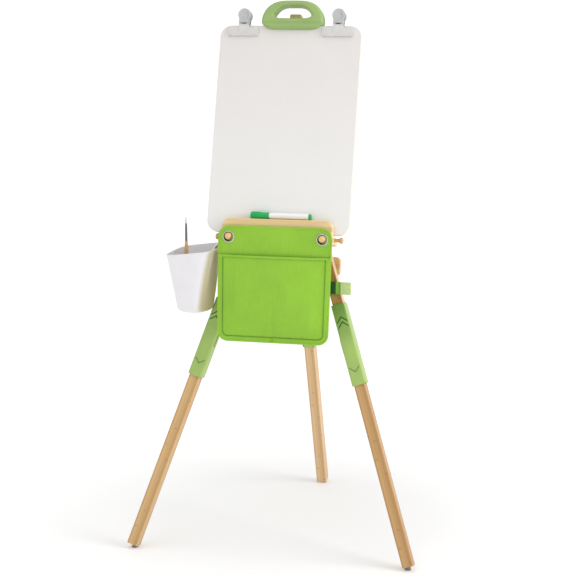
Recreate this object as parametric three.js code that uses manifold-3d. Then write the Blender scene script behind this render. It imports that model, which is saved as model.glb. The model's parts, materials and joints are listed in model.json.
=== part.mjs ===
// Folding kids easel: a bamboo A-frame with a hinged rear leg, a leaning whiteboard with a carry handle
// and two spring clips, a marker ledge, a canvas pouch on two pegs and a cup on a side peg.
// Millimetres, +Z up, +Y towards the rear leg. The origin is under the middle of the footprint.
import * as THREE from 'three';
import { mergeVertices } from 'three/addons/utils/BufferGeometryUtils.js';
import Module from 'manifold-3d';

const wasm = await Module();
wasm.setup();

// ---------------------------------------------------------------- driving dimensions
const GAP = 0.3;                 // between pieces that touch
const RUN = 0.4;                 // beside pieces that slide
const HAIR = 0.01;               // keeps two faces of a cut or a join from lying in one plane

// tripod: every leg axis runs from the floor to the hub
const FRONT_FOOT_X = 302;
const REAR_FOOT_Y = 552;
const HUB = { x: 16, y: 194, z: 857 };
const REAR_AXIS_SET_BACK = 20;   // rear leg axis behind the front ones at hub height
const LEG = { width: 24, depth: 26, edge: 2.5, topGap: 7 };
const SLEEVE = { length: 182, wall: 3, frontStart: 393.5, rearStart: 401, tongue: 7, edge: 4 };
const UPPER_INSERT = 52;         // leg length held inside a sleeve
const LOWER_INSERT = 50;
const FOOT = { lift: 1.2, radius: 6.5, overlap: 4, height: 12 };
const BUTTON = { width: 9, length: 34, stand: 2, travel: 2, clearance: 0.35, legGap: 0.2 };

// board, in its own leaning frame: x across, y backwards, z up along the board
const BOARD = { width: 305, height: 443, corner: 24, lean: 16.8, y: 79, z: 683 };
const SHEET = 1.7;
const CORE_BACK = 13;
const OFFSET = 4;                // handle, spine, ledge and pouch stand this far right of the board's middle
const SPINE = { width: 25, front: 20, back: 40, bottom: -84, top: 474 };
const BATTEN = { halfWidth: 100, upper: [370, 408], lower: [18, 58] };

// hub, in the board's frame
const HUB_BLOCK = { bottom: 150, top: 218, halfBottom: 52, halfTop: 35, back: 80, shoulder: 8 };
const EAR = { inner: 12.5, outer: 19, radius: 14, overlap: 4 };
const PIN = { radius: 3, z: 822, fit: 0.1, headRadius: 6, headDepth: 3.6, stand: 1.5 };
const BOLT = { z: 204, radius: 2.6, hole: 2.9, head: 5.8, length: 24, sink: 3 };
const BOLT_RECESS = { radius: 6.2, depth: 7.5 };

const RAIL = { height: 40, halfLength: 120, thickness: 14, centre: 624, corner: 9 };
const RAIL_SCREW = { radius: 2.2, head: 4.6, hole: 5.2, sink: 0.6 };
const STRUT = { halfWidth: 11, bottom: 609, top: 637 };

const HANDLE = {
  halfWidth: 67, bottom: 443.5, top: 496, front: -10, back: 20, foot: 8, sweep: 20, crown: 18,
};
const LIP = { halfWidth: 58, bottom: 434, overlap: 4, setBack: 3.5, topRadius: 4, bottomRadius: 5 };
const SADDLE_HALF_WIDTH = 54;
const GRIP = { halfWidth: 42, bottom: 458.5, top: 485, corner: 6, knee: 5, hip: 14, crown: 20, crownDrop: 2 };
const HANDLE_SCREW = { x: 36, z: 450, radius: 4.4, height: 2.6, hole: { radius: 5, depth: 3 } };

const LEDGE = { x: OFFSET, halfWidth: 118, bottom: -33, top: 27.5, front: -18, back: -2, corner: 16 };
const SHELF = { top: -3.5, bottom: -18.5, front: -1.7, back: 38 };
const PEG = { shank: 3.7, head: 6.6, tenon: 8, headLength: 7.5, under: 1.4, dome: 3 };
const POUCH_PEG = { x: 99.5, z: -13.5, reach: 13 };
const SIDE_PEG = { y: 7, z: -9.5, reach: 11.4 };

const CLIP = { x: 102, halfWidth: 33, jawBottom: 420, jawHeight: 20, pivot: 450.5, plate: 4 };
const CLIP_TAB = { centre: 466, radius: 13.8, neckHalfWidth: 11 };
const KNUCKLE = { front: [7.8, 10.8], back: [4.4, 7.4], radius: 4, root: 0.5 };
const CLIP_PIN = { radius: 1.6, halfLength: 11.6, hole: 1.9 };
const CLIP_SPRING = { inner: 1.9, outer: 3.6, halfLength: 4 };

// half widths across and along at the rim and the base; the rim's plane falls away to the outer side
const CUP = {
  x: -181, rimX: 49, rimY: 55.5, baseX: 27, baseY: 31, top: 650.3, bottom: 511, wall: 2.4,
  yaw: -9.3, slopeX: 0.141, slopeY: 0.065, flatPower: 3.16, roundPower: 3.6,
};
const HOOK = { x: 60.4, half: 11, root: 38, bottom: 640, top: 677.3, thickness: 2.4, hole: 5.2 };
const POUCH = { halfWidth: 121, bottom: 457, top: 701, y: 48, thickness: 3, topCorner: 24, bottomCorner: 22 };
const POCKET = { top: 639.5, depth: 14, side: 4, face: 2.5 };
const GROMMET = { eye: 9, flange: 12.2, tube: 0.9, stand: 1.3, plate: 1 };
const STRAP = { z: 567.5, height: 26, thickness: 2, sewn: [24, 38], tail: 29, turnOut: 3, legFront: 5 };
const MARKER = { length: 131, left: -55.5, barrel: 6.4, plug: 6.1, plugLength: 5.2 };
const CAP = { length: 39, bigRadius: 7.6, smallRadius: 6.9, bore: 5.4, end: 6, step: 23.1 };
const NIB = { length: 26, tipRadius: 2, shoulder: 16, shoulderRadius: 3.2, neck: 14, neckRadius: 5 };
const BRUSH = { length: 206, handleEnd: 151.5, ferruleEnd: 190, handle: 4.6, ferrule: 2.4, tip: 2.3 };
const BRUSH_FOOT = [-196.8, 81.1, 514.9];
const BRUSH_LEAN = [9.7, -33.2];   // how far the tip stands to the side of the foot

// ---------------------------------------------------------------- materials
const BAMBOO = [0xd3ab72, 0.55];
const GREEN = [0xa5c178, 0.5];
const WHITE = [0xf1f1ee, 0.3];
const STEEL = [0xb9bcbf, 0.3, 0.9];
const CANVAS = [0x8fc03e, 0.9];
const CLEAR = [0xd2d6d4, 0.25];
const RUBBER = [0x8d8f8c, 0.8];
const MARKER_GREEN = [0x23af64, 0.4];

// ---------------------------------------------------------------- shape helpers
function toSolid(geometry) {
  const g = geometry.clone();
  g.deleteAttribute('normal');
  g.deleteAttribute('uv');
  const merged = mergeVertices(g, 1e-4);
  const vertProperties = new Float32Array(merged.attributes.position.array);
  const triVerts = new Uint32Array(merged.index.array);
  return new wasm.Manifold(new wasm.Mesh({ numProp: 3, vertProperties, triVerts }));
}

function toGeometry(solid) {
  const mesh = solid.getMesh();
  const g = new THREE.BufferGeometry();
  g.setAttribute('position', new THREE.BufferAttribute(new Float32Array(mesh.vertProperties), 3));
  g.setIndex(new THREE.BufferAttribute(new Uint32Array(mesh.triVerts), 1));
  g.computeVertexNormals();
  return g;
}

const cut = (body, ...tools) => toGeometry(tools.reduce((s, t) => s.subtract(toSolid(t)), toSolid(body)));
const join = (...bodies) => toGeometry(bodies.map(toSolid).reduce((s, b) => s.add(b)));
const common = (a, b) => toGeometry(toSolid(a).intersect(toSolid(b)));

function block(x0, x1, y0, y1, z0, z1) {
  const g = new THREE.BoxGeometry(x1 - x0, y1 - y0, z1 - z0);
  return g.translate((x0 + x1) / 2, (y0 + y1) / 2, (z0 + z1) / 2);
}

// a cylinder from one point to another
function rod(from, to, radius, sides = 20) {
  const a = new THREE.Vector3(...from);
  const b = new THREE.Vector3(...to);
  const along = b.clone().sub(a);
  const g = new THREE.CylinderGeometry(radius, radius, along.length(), sides);
  g.applyQuaternion(new THREE.Quaternion().setFromUnitVectors(new THREE.Vector3(0, 1, 0), along.normalize()));
  return g.translate(...a.add(b).multiplyScalar(0.5).toArray());
}

// a turned piece: the profile holds [radius, distance] pairs, laid from a point along a direction
function turned(profile, from, direction, sides = 20) {
  const g = new THREE.LatheGeometry(profile.map(([r, h]) => new THREE.Vector2(r, h)), sides);
  const turn = new THREE.Quaternion().setFromUnitVectors(new THREE.Vector3(0, 1, 0), direction);
  return g.applyQuaternion(turn).translate(...from);
}

function roundedRect(halfWidth, z0, z1, topRadius, bottomRadius = topRadius) {
  const s = new THREE.Shape();
  s.moveTo(-halfWidth + bottomRadius, z0);
  s.lineTo(halfWidth - bottomRadius, z0);
  s.absarc(halfWidth - bottomRadius, z0 + bottomRadius, bottomRadius, -Math.PI / 2, 0);
  s.lineTo(halfWidth, z1 - topRadius);
  s.absarc(halfWidth - topRadius, z1 - topRadius, topRadius, 0, Math.PI / 2);
  s.lineTo(-halfWidth + topRadius, z1);
  s.absarc(-halfWidth + topRadius, z1 - topRadius, topRadius, Math.PI / 2, Math.PI);
  s.lineTo(-halfWidth, z0 + bottomRadius);
  s.absarc(-halfWidth + bottomRadius, z0 + bottomRadius, bottomRadius, Math.PI, Math.PI * 1.5);
  return s;
}

// an outline drawn in x and z, as a panel between two values of y
function panel(outline, y0, y1, curveSegments = 6) {
  const g = new THREE.ExtrudeGeometry(outline, { depth: y1 - y0, bevelEnabled: false, curveSegments });
  return g.rotateX(Math.PI / 2).translate(0, y1, 0);
}

// a bar along local z with chamfered long edges
function bar(width, depth, edge, z0, z1) {
  const w = width / 2;
  const d = depth / 2;
  const s = new THREE.Shape();
  s.moveTo(-w + edge, -d);
  s.lineTo(w - edge, -d);
  s.lineTo(w, -d + edge);
  s.lineTo(w, d - edge);
  s.lineTo(w - edge, d);
  s.lineTo(-w + edge, d);
  s.lineTo(-w, d - edge);
  s.lineTo(-w, -d + edge);
  s.closePath();
  return new THREE.ExtrudeGeometry(s, { depth: z1 - z0, bevelEnabled: false }).translate(0, 0, z0);
}

// ---------------------------------------------------------------- frames
const easel = new THREE.Group();

function newFrame(matrix) {
  const frame = new THREE.Group();
  matrix.decompose(frame.position, frame.quaternion, frame.scale);
  frame.updateMatrix();
  easel.add(frame);
  return frame;
}

function add(frame, name, geometry, [color, roughness, metalness = 0]) {
  const mesh = new THREE.Mesh(geometry, new THREE.MeshStandardMaterial({ color, roughness, metalness }));
  mesh.name = name;
  frame.add(mesh);
  return mesh;
}

// geometry drawn in one frame, moved into another so that the two can be cut or joined
const carry = (geometry, from, to) => geometry.clone().applyMatrix4(
  new THREE.Matrix4().copy(to.matrix).invert().multiply(from.matrix),
);

// local z runs up the leg, local x stays level where it can, local y points backwards
function legFrame(foot, top) {
  const up = top.clone().sub(foot).normalize();
  const across = new THREE.Vector3(1, 0, 0).addScaledVector(up, -up.x).normalize();
  const back = new THREE.Vector3().crossVectors(up, across);
  return newFrame(new THREE.Matrix4().makeBasis(across, back, up).setPosition(foot));
}

const worldFrame = newFrame(new THREE.Matrix4());
const boardFrame = newFrame(
  new THREE.Matrix4().makeRotationX(-THREE.MathUtils.degToRad(BOARD.lean)).setPosition(0, BOARD.y, BOARD.z),
);
const ledgeShift = new THREE.Matrix4().makeTranslation(LEDGE.x, 0, 0);
const ledgeFrame = newFrame(boardFrame.matrix.clone().multiply(ledgeShift));
const pouchFrame = newFrame(ledgeShift);
const aFrameLean = Math.atan2(HUB.y, HUB.z);
const aFrame = newFrame(new THREE.Matrix4().makeRotationX(-aFrameLean));
const frontAxisLength = Math.hypot(FRONT_FOOT_X - HUB.x, HUB.y, HUB.z);
const forward = new THREE.Vector3(0, -1, 0);
const backward = new THREE.Vector3(0, 1, 0);
const right = new THREE.Vector3(1, 0, 0);

const rearLean = Math.atan2(REAR_FOOT_Y - HUB.y - REAR_AXIS_SET_BACK, HUB.z);
const pinPoint = new THREE.Vector3(0, REAR_FOOT_Y - PIN.z * Math.tan(rearLean), PIN.z);

const legs = [-1, 1].map((side) => ({
  name: side < 0 ? 'left' : 'right',
  inward: -side,
  sleeveStart: SLEEVE.frontStart,
  top: frontAxisLength - LEG.topGap,
  lowSide: new THREE.Vector2(-side, 1),
  frame: legFrame(
    new THREE.Vector3(side * FRONT_FOOT_X, 0, 0), new THREE.Vector3(side * HUB.x, HUB.y, HUB.z),
  ),
}));
legs.push({
  name: 'rear',
  inward: 1,
  sleeveStart: SLEEVE.rearStart,
  top: PIN.z / Math.cos(rearLean),
  lowSide: new THREE.Vector2(0, -1),
  frame: legFrame(new THREE.Vector3(0, REAR_FOOT_Y, 0), pinPoint),
});

// ---------------------------------------------------------------- legs
// distance along the axis at which a square end has its lowest corner at a given height
function squareEnd(leg, height) {
  const m = leg.frame.matrix.elements;
  const cornerDrop = Math.abs(m[2]) * LEG.width / 2 + Math.abs(m[6]) * LEG.depth / 2;
  return (height + cornerDrop) / m[10];
}

// the sleeve's tube, each wall ending in a rounded tongue
function sleeveTube(start) {
  const w = LEG.width + 2 * (RUN + SLEEVE.wall);
  const d = LEG.depth + 2 * (RUN + SLEEVE.wall);
  const end = start + SLEEVE.length;
  const tube = bar(w, d, SLEEVE.edge, start, end);
  const faceOn = panel(roundedRect(w / 2 - HAIR, start, end, w * 0.3), -d, d, 4);
  const sideOn = panel(roundedRect(d / 2 - HAIR, start, end, d * 0.3), -w, w, 4).rotateZ(Math.PI / 2);
  const shoulders = block(-w, w, -d, d, start + SLEEVE.tongue, end - SLEEVE.tongue);
  const bore = bar(LEG.width + 2 * RUN, LEG.depth + 2 * RUN, LEG.edge, start - 10, end + 10);
  const tongued = common(join(faceOn, shoulders), join(sideOn, shoulders));
  return cut(common(tube, tongued), bore);
}

// an upright rounded slot through the wall that faces the middle of the easel
function buttonSlot(leg, grow, x0, x1) {
  const w = BUTTON.width / 2 + grow;
  const h = BUTTON.length / 2 + grow;
  const middle = leg.sleeveStart + SLEEVE.length * 0.5;
  const outline = roundedRect(w, -h, h, w * 0.95);
  const g = panel(outline, x0, x1, 3).rotateZ(Math.PI / 2).translate(0, 0, middle);
  return leg.inward < 0 ? g.rotateZ(Math.PI) : g;
}

function buildLeg(leg) {
  const { frame, name } = leg;
  const start = leg.sleeveStart;
  const end = start + SLEEVE.length;
  const wallIn = LEG.width / 2 + RUN;
  const wallOut = wallIn + SLEEVE.wall;
  const slot = buttonSlot(leg, BUTTON.clearance, -wallOut - SLEEVE.wall, -wallIn + SLEEVE.wall);
  add(frame, `sleeve_${name}`, cut(sleeveTube(start), slot), GREEN);

  let upper = bar(LEG.width, LEG.depth, LEG.edge, end - UPPER_INSERT, leg.top);
  if (name === 'rear') {
    const eye = rod([-LEG.width / 2, 0, leg.top], [LEG.width / 2, 0, leg.top], LEG.depth / 2, 20);
    const hole = rod([-LEG.width, 0, leg.top], [LEG.width, 0, leg.top], PIN.radius + RUN, 16);
    upper = cut(join(upper, eye), hole);
  }
  add(frame, `upper_leg_${name}`, upper, BAMBOO);

  const footEnd = squareEnd(leg, FOOT.lift);
  add(frame, `lower_leg_${name}`, bar(LEG.width, LEG.depth, LEG.edge, footEnd, start + LOWER_INSERT), BAMBOO);

  const padX = leg.lowSide.x * FOOT.overlap;
  const padY = leg.lowSide.y * FOOT.overlap;
  const pad = rod([padX, padY, footEnd - FOOT.height], [padX, padY, footEnd - GAP], FOOT.radius, 14);
  const underFloor = carry(block(-400, 400, -100, 700, -60, 0), worldFrame, frame);
  add(frame, `foot_pad_${name}`, cut(pad, underFloor), RUBBER);

  const innerEnd = -LEG.width / 2 - BUTTON.travel - BUTTON.legGap;
  add(frame, `lock_button_${name}`, buttonSlot(leg, 0, -wallOut - BUTTON.stand, innerEnd), GREEN);
}
legs.forEach(buildLeg);

// ---------------------------------------------------------------- hub, hinge pin, rail and strut
function buildHub() {
  const h = HUB_BLOCK;
  const outline = new THREE.Shape();
  outline.moveTo(-h.halfBottom, h.bottom);
  outline.lineTo(h.halfBottom, h.bottom);
  outline.lineTo(h.halfTop, h.top - h.shoulder);
  outline.lineTo(h.halfTop - h.shoulder, h.top);
  outline.lineTo(-h.halfTop + h.shoulder, h.top);
  outline.lineTo(-h.halfTop, h.top - h.shoulder);
  outline.closePath();
  const front = SPINE.back + GAP;
  const pin = pinPoint.clone().applyMatrix4(boardFrame.matrix.clone().invert());
  const ears = [-1, 1].map((side) => {
    const x0 = Math.min(side * EAR.inner, side * EAR.outer);
    const x1 = Math.max(side * EAR.inner, side * EAR.outer);
    const arm = block(x0, x1, h.back - EAR.overlap, pin.y, pin.z - EAR.radius, pin.z + EAR.radius);
    return join(arm, rod([x0, pin.y, pin.z], [x1, pin.y, pin.z], EAR.radius, 20));
  });
  const sockets = legs.slice(0, 2).map((leg) => carry(
    bar(LEG.width + 2 * GAP, LEG.depth + 2 * GAP, LEG.edge, 500, leg.top + GAP), leg.frame, boardFrame,
  ));
  const pinHole = rod([-60, pin.y, pin.z], [60, pin.y, pin.z], PIN.radius + PIN.fit, 16);
  const boltHole = rod([OFFSET, front - 5, BOLT.z], [OFFSET, front + 8, BOLT.z], BOLT.hole, 16);
  const body = join(panel(outline, front, h.back), ...ears);
  add(boardFrame, 'hub_block', cut(body, ...sockets, pinHole, boltHole), GREEN);

  const headTop = -PIN.headDepth - RUN;
  const edge = 1.5;
  const tail = 2 * EAR.outer + PIN.stand;
  const profile = [[0, headTop], [PIN.headRadius - 2, headTop], [PIN.headRadius, headTop + edge]];
  profile.push([PIN.headRadius, -RUN], [PIN.radius, -RUN], [PIN.radius, tail], [0, tail]);
  add(boardFrame, 'hinge_pin', turned(profile, [-EAR.outer, pin.y, pin.z], right, 16), STEEL);
}
buildHub();

// a countersunk screw: head at a point, shank along a direction
function screw(frame, name, at, direction, length, shankRadius, headRadius) {
  const dome = headRadius * 0.35;
  const profile = [[0, -dome], [headRadius * 0.6, -dome * 0.75], [headRadius, 0], [headRadius, 0.8]];
  profile.push([shankRadius, 0.8 + headRadius - shankRadius], [shankRadius, length], [0, length]);
  add(frame, name, turned(profile, at, direction, 14), STEEL);
}

function buildFrameParts() {
  const a = LEG.depth / 2 + GAP;
  const r = RAIL.height / 2;
  const back = a + RAIL.thickness;
  const rail = panel(roundedRect(RAIL.halfLength, RAIL.centre - r, RAIL.centre + r, RAIL.corner), a, back, 5);
  const legX = (z) => HUB.x + (FRONT_FOOT_X - HUB.x) * (1 - z / Math.hypot(HUB.y, HUB.z));
  const screwX = legX(RAIL.centre);
  const holes = [-1, 1].map((side) => rod(
    [side * screwX, a - 5, RAIL.centre], [side * screwX, back + 5, RAIL.centre], RAIL_SCREW.hole, 12,
  ));
  add(aFrame, 'cross_rail', cut(rail, ...holes), BAMBOO);
  for (const side of [-1, 1]) {
    const name = side < 0 ? 'rail_screw_left' : 'rail_screw_right';
    const at = [side * screwX, back - RAIL_SCREW.sink, RAIL.centre];
    const length = RAIL.thickness - 2 * RAIL_SCREW.sink;
    screw(aFrame, name, at, forward, length, RAIL_SCREW.radius, RAIL_SCREW.head);
  }
  const [x0, x1] = [OFFSET - STRUT.halfWidth, OFFSET + STRUT.halfWidth];
  const strut = block(x0, x1, -110, LEG.depth / 2, STRUT.bottom, STRUT.top);
  const before = block(-60, 60, -300, SPINE.back + GAP, -400, 400);
  add(aFrame, 'lower_strut', cut(strut, carry(before, boardFrame, aFrame)), BAMBOO);
}
buildFrameParts();

// ---------------------------------------------------------------- board, spine and handle
function buildBoard() {
  const outline = roundedRect(BOARD.width / 2, 0, BOARD.height, BOARD.corner);
  add(boardFrame, 'whiteboard_sheet', panel(outline, 0, SHEET), WHITE);
  add(boardFrame, 'board_core', panel(outline, SHEET + GAP, CORE_BACK), BAMBOO);
  for (const [name, [z0, z1]] of [['upper_batten', BATTEN.upper], ['lower_batten', BATTEN.lower]]) {
    const batten = panel(roundedRect(BATTEN.halfWidth, z0, z1, 10), CORE_BACK + GAP, SPINE.front - GAP, 5);
    add(boardFrame, name, batten, BAMBOO);
  }
  const w = SPINE.width / 2;
  const mast = panel(roundedRect(w, SPINE.bottom, SPINE.top, 2), SPINE.front, SPINE.back, 2);
  const boltHole = rod([0, SPINE.front - 2, BOLT.z], [0, SPINE.back + 2, BOLT.z], BOLT.hole, 16);
  const recessEnd = SPINE.front + BOLT_RECESS.depth;
  const recess = rod([0, SPINE.front - 2, BOLT.z], [0, recessEnd, BOLT.z], BOLT_RECESS.radius, 20);
  add(ledgeFrame, 'spine', cut(mast, boltHole, recess), BAMBOO);
  const at = [0, SPINE.front + BOLT.sink, BOLT.z];
  screw(ledgeFrame, 'hub_bolt', at, backward, BOLT.length, BOLT.radius, BOLT.head);
}
buildBoard();

function buildHandle() {
  const h = HANDLE;
  const foot = h.bottom + h.foot;
  const shoulder = h.halfWidth - h.crown;
  const arch = new THREE.Shape();
  arch.moveTo(-h.halfWidth, h.bottom);
  arch.lineTo(h.halfWidth, h.bottom);
  arch.lineTo(h.halfWidth, foot);
  arch.bezierCurveTo(h.halfWidth, h.top - h.sweep, shoulder, h.top, h.crown, h.top);
  arch.lineTo(-h.crown, h.top);
  arch.bezierCurveTo(-shoulder, h.top, -h.halfWidth, h.top - h.sweep, -h.halfWidth, foot);
  const g = GRIP;
  const w = g.halfWidth;
  const knee = g.bottom + g.knee;
  const thigh = knee + g.corner;
  const under = g.top - g.crownDrop;
  const opening = new THREE.Path();
  opening.moveTo(-w + g.corner, g.bottom);
  opening.bezierCurveTo(-w, g.bottom, -w - 1, knee, -w + g.knee, thigh);
  opening.bezierCurveTo(-w + g.hip, under, -g.crown, g.top, 0, g.top);
  opening.bezierCurveTo(g.crown, g.top, w - g.hip, under, w - g.knee, thigh);
  opening.bezierCurveTo(w + 1, knee, w, g.bottom, w - g.corner, g.bottom);
  arch.holes.push(opening);
  const body = panel(arch, h.front, h.back, 10);
  const lap = h.bottom + LIP.overlap;
  const saddle = block(-SADDLE_HALF_WIDTH, SADDLE_HALF_WIDTH, CORE_BACK + GAP, h.back, LIP.bottom, lap);
  const lipOutline = roundedRect(LIP.halfWidth, LIP.bottom, lap, LIP.topRadius, LIP.bottomRadius);
  const lip = panel(lipOutline, h.front + LIP.setBack, -GAP, 4);
  const { x, z, radius, height, hole } = HANDLE_SCREW;
  const holes = [-1, 1].map((side) => rod(
    [side * x, h.back - hole.depth, z], [side * x, h.back + hole.depth, z], hole.radius, 16,
  ));
  const clear = SPINE.width / 2 + GAP;
  const clearSpine = block(-clear, clear, h.back - HAIR, h.back + 30, 400, 520);
  add(ledgeFrame, 'carry_handle', cut(join(body, saddle, lip), clearSpine, ...holes), GREEN);
  for (const side of [-1, 1]) {
    const name = side < 0 ? 'handle_screw_left' : 'handle_screw_right';
    const dome = [[0, 0], [radius, 0], [radius, height - 1.4], [radius - 1.4, height - 0.4], [0, height]];
    add(ledgeFrame, name, turned(dome, [side * x, h.back - height, z], backward, 14), STEEL);
  }
}
buildHandle();

// ---------------------------------------------------------------- ledge, shelf and pegs
// profile of a peg from the foot of its tenon: shank, then a mushroom head
function pegProfile(reach) {
  const neck = PEG.tenon + reach;
  const top = neck + PEG.headLength;
  const profile = [[0, 0], [PEG.shank, 0], [PEG.shank, neck], [PEG.head - 1, neck]];
  profile.push([PEG.head, neck + PEG.under], [PEG.head, top - PEG.dome]);
  profile.push([PEG.head * 0.75, top - PEG.dome * 0.27], [0, top]);
  return profile;
}

function buildLedge() {
  const l = LEDGE;
  const front = panel(roundedRect(l.halfWidth, l.bottom, l.top, l.corner, 6), l.front, l.back);
  const pegHoles = [-1, 1].map((side) => {
    const { x, z } = POUCH_PEG;
    return rod([side * x, l.front - 1, z], [side * x, l.front + PEG.tenon + GAP, z], PEG.shank + GAP, 12);
  });
  add(ledgeFrame, 'tray_panel', cut(front, ...pegHoles), BAMBOO);

  const s = SHELF;
  const plank = block(-l.halfWidth, l.halfWidth, s.front, s.back, s.bottom, s.top);
  const notchHalf = SPINE.width / 2 + GAP;
  const notch = block(-notchHalf, notchHalf, SPINE.front - GAP, s.back + 5, -90, 40);
  const sideHoles = [-1, 1].map((side) => rod(
    [side * (l.halfWidth - PEG.tenon - GAP), SIDE_PEG.y, SIDE_PEG.z],
    [side * (l.halfWidth + 1), SIDE_PEG.y, SIDE_PEG.z], PEG.shank + GAP, 12,
  ));
  add(ledgeFrame, 'tray_shelf', cut(plank, notch, ...sideHoles), BAMBOO);

  for (const side of [-1, 1]) {
    const name = side < 0 ? 'left' : 'right';
    const root = [side * POUCH_PEG.x, l.front + PEG.tenon, POUCH_PEG.z];
    add(ledgeFrame, `pouch_peg_${name}`, turned(pegProfile(POUCH_PEG.reach), root, forward, 14), BAMBOO);
    const sideRoot = [side * (l.halfWidth - PEG.tenon), SIDE_PEG.y, SIDE_PEG.z];
    const outward = new THREE.Vector3(side, 0, 0);
    const sidePeg = turned(pegProfile(SIDE_PEG.reach), sideRoot, outward, 14);
    add(ledgeFrame, `side_peg_${name}`, sidePeg, BAMBOO);
  }
}
buildLedge();

// ---------------------------------------------------------------- spring clips
// a jaw plate that ends above the board in a round finger tab; sign -1 is the front one
function clipJaw(sign) {
  const c = CLIP;
  const tab = CLIP_TAB;
  const near = sign < 0 ? -GAP : CORE_BACK + GAP;
  const y = (distance) => near + sign * distance;
  const slab = (outline, deep) => panel(outline, Math.min(y(0), y(deep)), Math.max(y(0), y(deep)), 3);
  const jaw = slab(roundedRect(c.halfWidth, c.jawBottom, c.jawBottom + c.jawHeight, 5, 3), c.plate);
  const neck = slab(roundedRect(tab.neckHalfWidth, c.jawBottom + 12, tab.centre + 2, 2), c.plate);
  const disc = rod([0, y(2 * HAIR), tab.centre], [0, y(c.plate - 2 * HAIR), tab.centre], tab.radius, 20);
  const middle = CORE_BACK / 2;
  const r = KNUCKLE.radius;
  const [in0, in1] = sign < 0 ? KNUCKLE.front : KNUCKLE.back;
  const knuckles = [[-in1, -in0], [in0, in1]].map(([x0, x1]) => {
    const root = y(KNUCKLE.root);
    const arm = block(x0, x1, Math.min(root, middle), Math.max(root, middle), c.pivot - r, c.pivot + r);
    return join(arm, rod([x0, middle, c.pivot], [x1, middle, c.pivot], r, 10));
  });
  const bore = rod([-30, middle, c.pivot], [30, middle, c.pivot], CLIP_PIN.hole, 12);
  return cut(join(jaw, neck, disc, ...knuckles), bore);
}

function buildClips() {
  const middle = CORE_BACK / 2;
  for (const side of [-1, 1]) {
    const name = side < 0 ? 'left' : 'right';
    const x = side * CLIP.x;
    add(boardFrame, `clip_front_jaw_${name}`, clipJaw(-1).translate(x, 0, 0), CLEAR);
    add(boardFrame, `clip_back_jaw_${name}`, clipJaw(1).translate(x, 0, 0), CLEAR);
    const long = 2 * CLIP_PIN.halfLength;
    const pin = [[0, 0], [CLIP_PIN.radius, 0], [CLIP_PIN.radius, long], [0, long]];
    const pinAt = [x - CLIP_PIN.halfLength, middle, CLIP.pivot];
    add(boardFrame, `clip_pin_${name}`, turned(pin, pinAt, right, 8), STEEL);
    const { inner, outer, halfLength } = CLIP_SPRING;
    const wide = 2 * halfLength;
    const coil = [[inner, 0], [outer, 0], [outer, wide], [inner, wide], [inner, 0]];
    const coilAt = [x - halfLength, middle, CLIP.pivot];
    add(boardFrame, `clip_spring_${name}`, turned(coil, coilAt, right, 12), STEEL);
  }
}
buildClips();

// ---------------------------------------------------------------- pouch
function buildPouch() {
  const p = POUCH;
  const outline = roundedRect(p.halfWidth, p.bottom, p.top, p.topCorner, p.bottomCorner);
  const back = panel(outline, p.y, p.y + p.thickness, 6);
  const pegAt = new THREE.Vector3(POUCH_PEG.x, LEDGE.front - 8, POUCH_PEG.z).applyMatrix4(boardFrame.matrix);
  const g = GROMMET;
  const holes = [-1, 1].map((side) => rod(
    [side * pegAt.x, p.y - 9, pegAt.z], [side * pegAt.x, p.y + 9, pegAt.z], g.eye + 1.2, 16,
  ));
  add(pouchFrame, 'pouch_back', cut(back, ...holes), CANVAS);

  const pocketBack = p.y - GAP;
  const pocketFront = pocketBack - POCKET.depth;
  const bagOutline = roundedRect(p.halfWidth, p.bottom, POCKET.top, 1, p.bottomCorner);
  const bag = panel(bagOutline, pocketFront, pocketBack, 6);
  const side = POCKET.side;
  const mouth = POCKET.top + 20;
  const hollow = roundedRect(p.halfWidth - side, p.bottom + side, mouth, 1, p.bottomCorner - side);
  const inside = panel(hollow, pocketFront + POCKET.face, pocketBack + 5);
  add(pouchFrame, 'pouch_pocket', cut(bag, inside), CANVAS);

  const front = p.y - g.stand;
  const rear = p.y + p.thickness + g.stand;
  const inner = g.eye - g.tube;
  const outer = g.eye + g.tube;
  const ring = [[inner, front], [g.flange, front], [g.flange, p.y - GAP], [outer, p.y - GAP]];
  ring.push([outer, rear - g.plate], [g.flange, rear - g.plate], [g.flange, rear]);
  ring.push([inner, rear], [inner, front]);
  for (const [name, x] of [['grommet_left', -pegAt.x], ['grommet_right', pegAt.x]]) {
    add(pouchFrame, name, turned(ring, [x, 0, pegAt.z], backward, 18), STEEL);
  }
}
buildPouch();

// a webbing strap sewn behind the pouch, led back to the right leg and across its front to a free end
function buildStrap() {
  const s = STRAP;
  const t = s.thickness;
  const leg = legs[1];
  const axis = new THREE.Vector3(0, 0, s.z / leg.frame.matrix.elements[10]).applyMatrix4(leg.frame.matrix);
  const [sewnEnd, sewnStart] = s.sewn.map((distance) => POUCH.halfWidth - distance);
  const sewnFace = POUCH.y + POUCH.thickness + GAP;
  const legLeft = axis.x - LEDGE.x - LEG.width / 2;
  const legRight = legLeft + LEG.width;
  const front = axis.y - LEG.depth / 2 - s.legFront;
  const loop = new THREE.Shape();
  loop.moveTo(sewnStart, sewnFace);
  loop.lineTo(sewnStart, sewnFace + t);
  loop.lineTo(sewnEnd - t, sewnFace + t);
  loop.lineTo(legLeft - t, front);
  loop.lineTo(legRight + s.tail, front - s.turnOut);
  loop.lineTo(legRight + s.tail, front - s.turnOut - t);
  loop.lineTo(legLeft, front - t);
  loop.lineTo(sewnEnd, sewnFace);
  loop.closePath();
  const strap = new THREE.ExtrudeGeometry(loop, { depth: s.height, bevelEnabled: false });
  add(pouchFrame, 'side_strap', strap.translate(0, 0, s.z - s.height / 2), CANVAS);
}
buildStrap();

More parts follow.
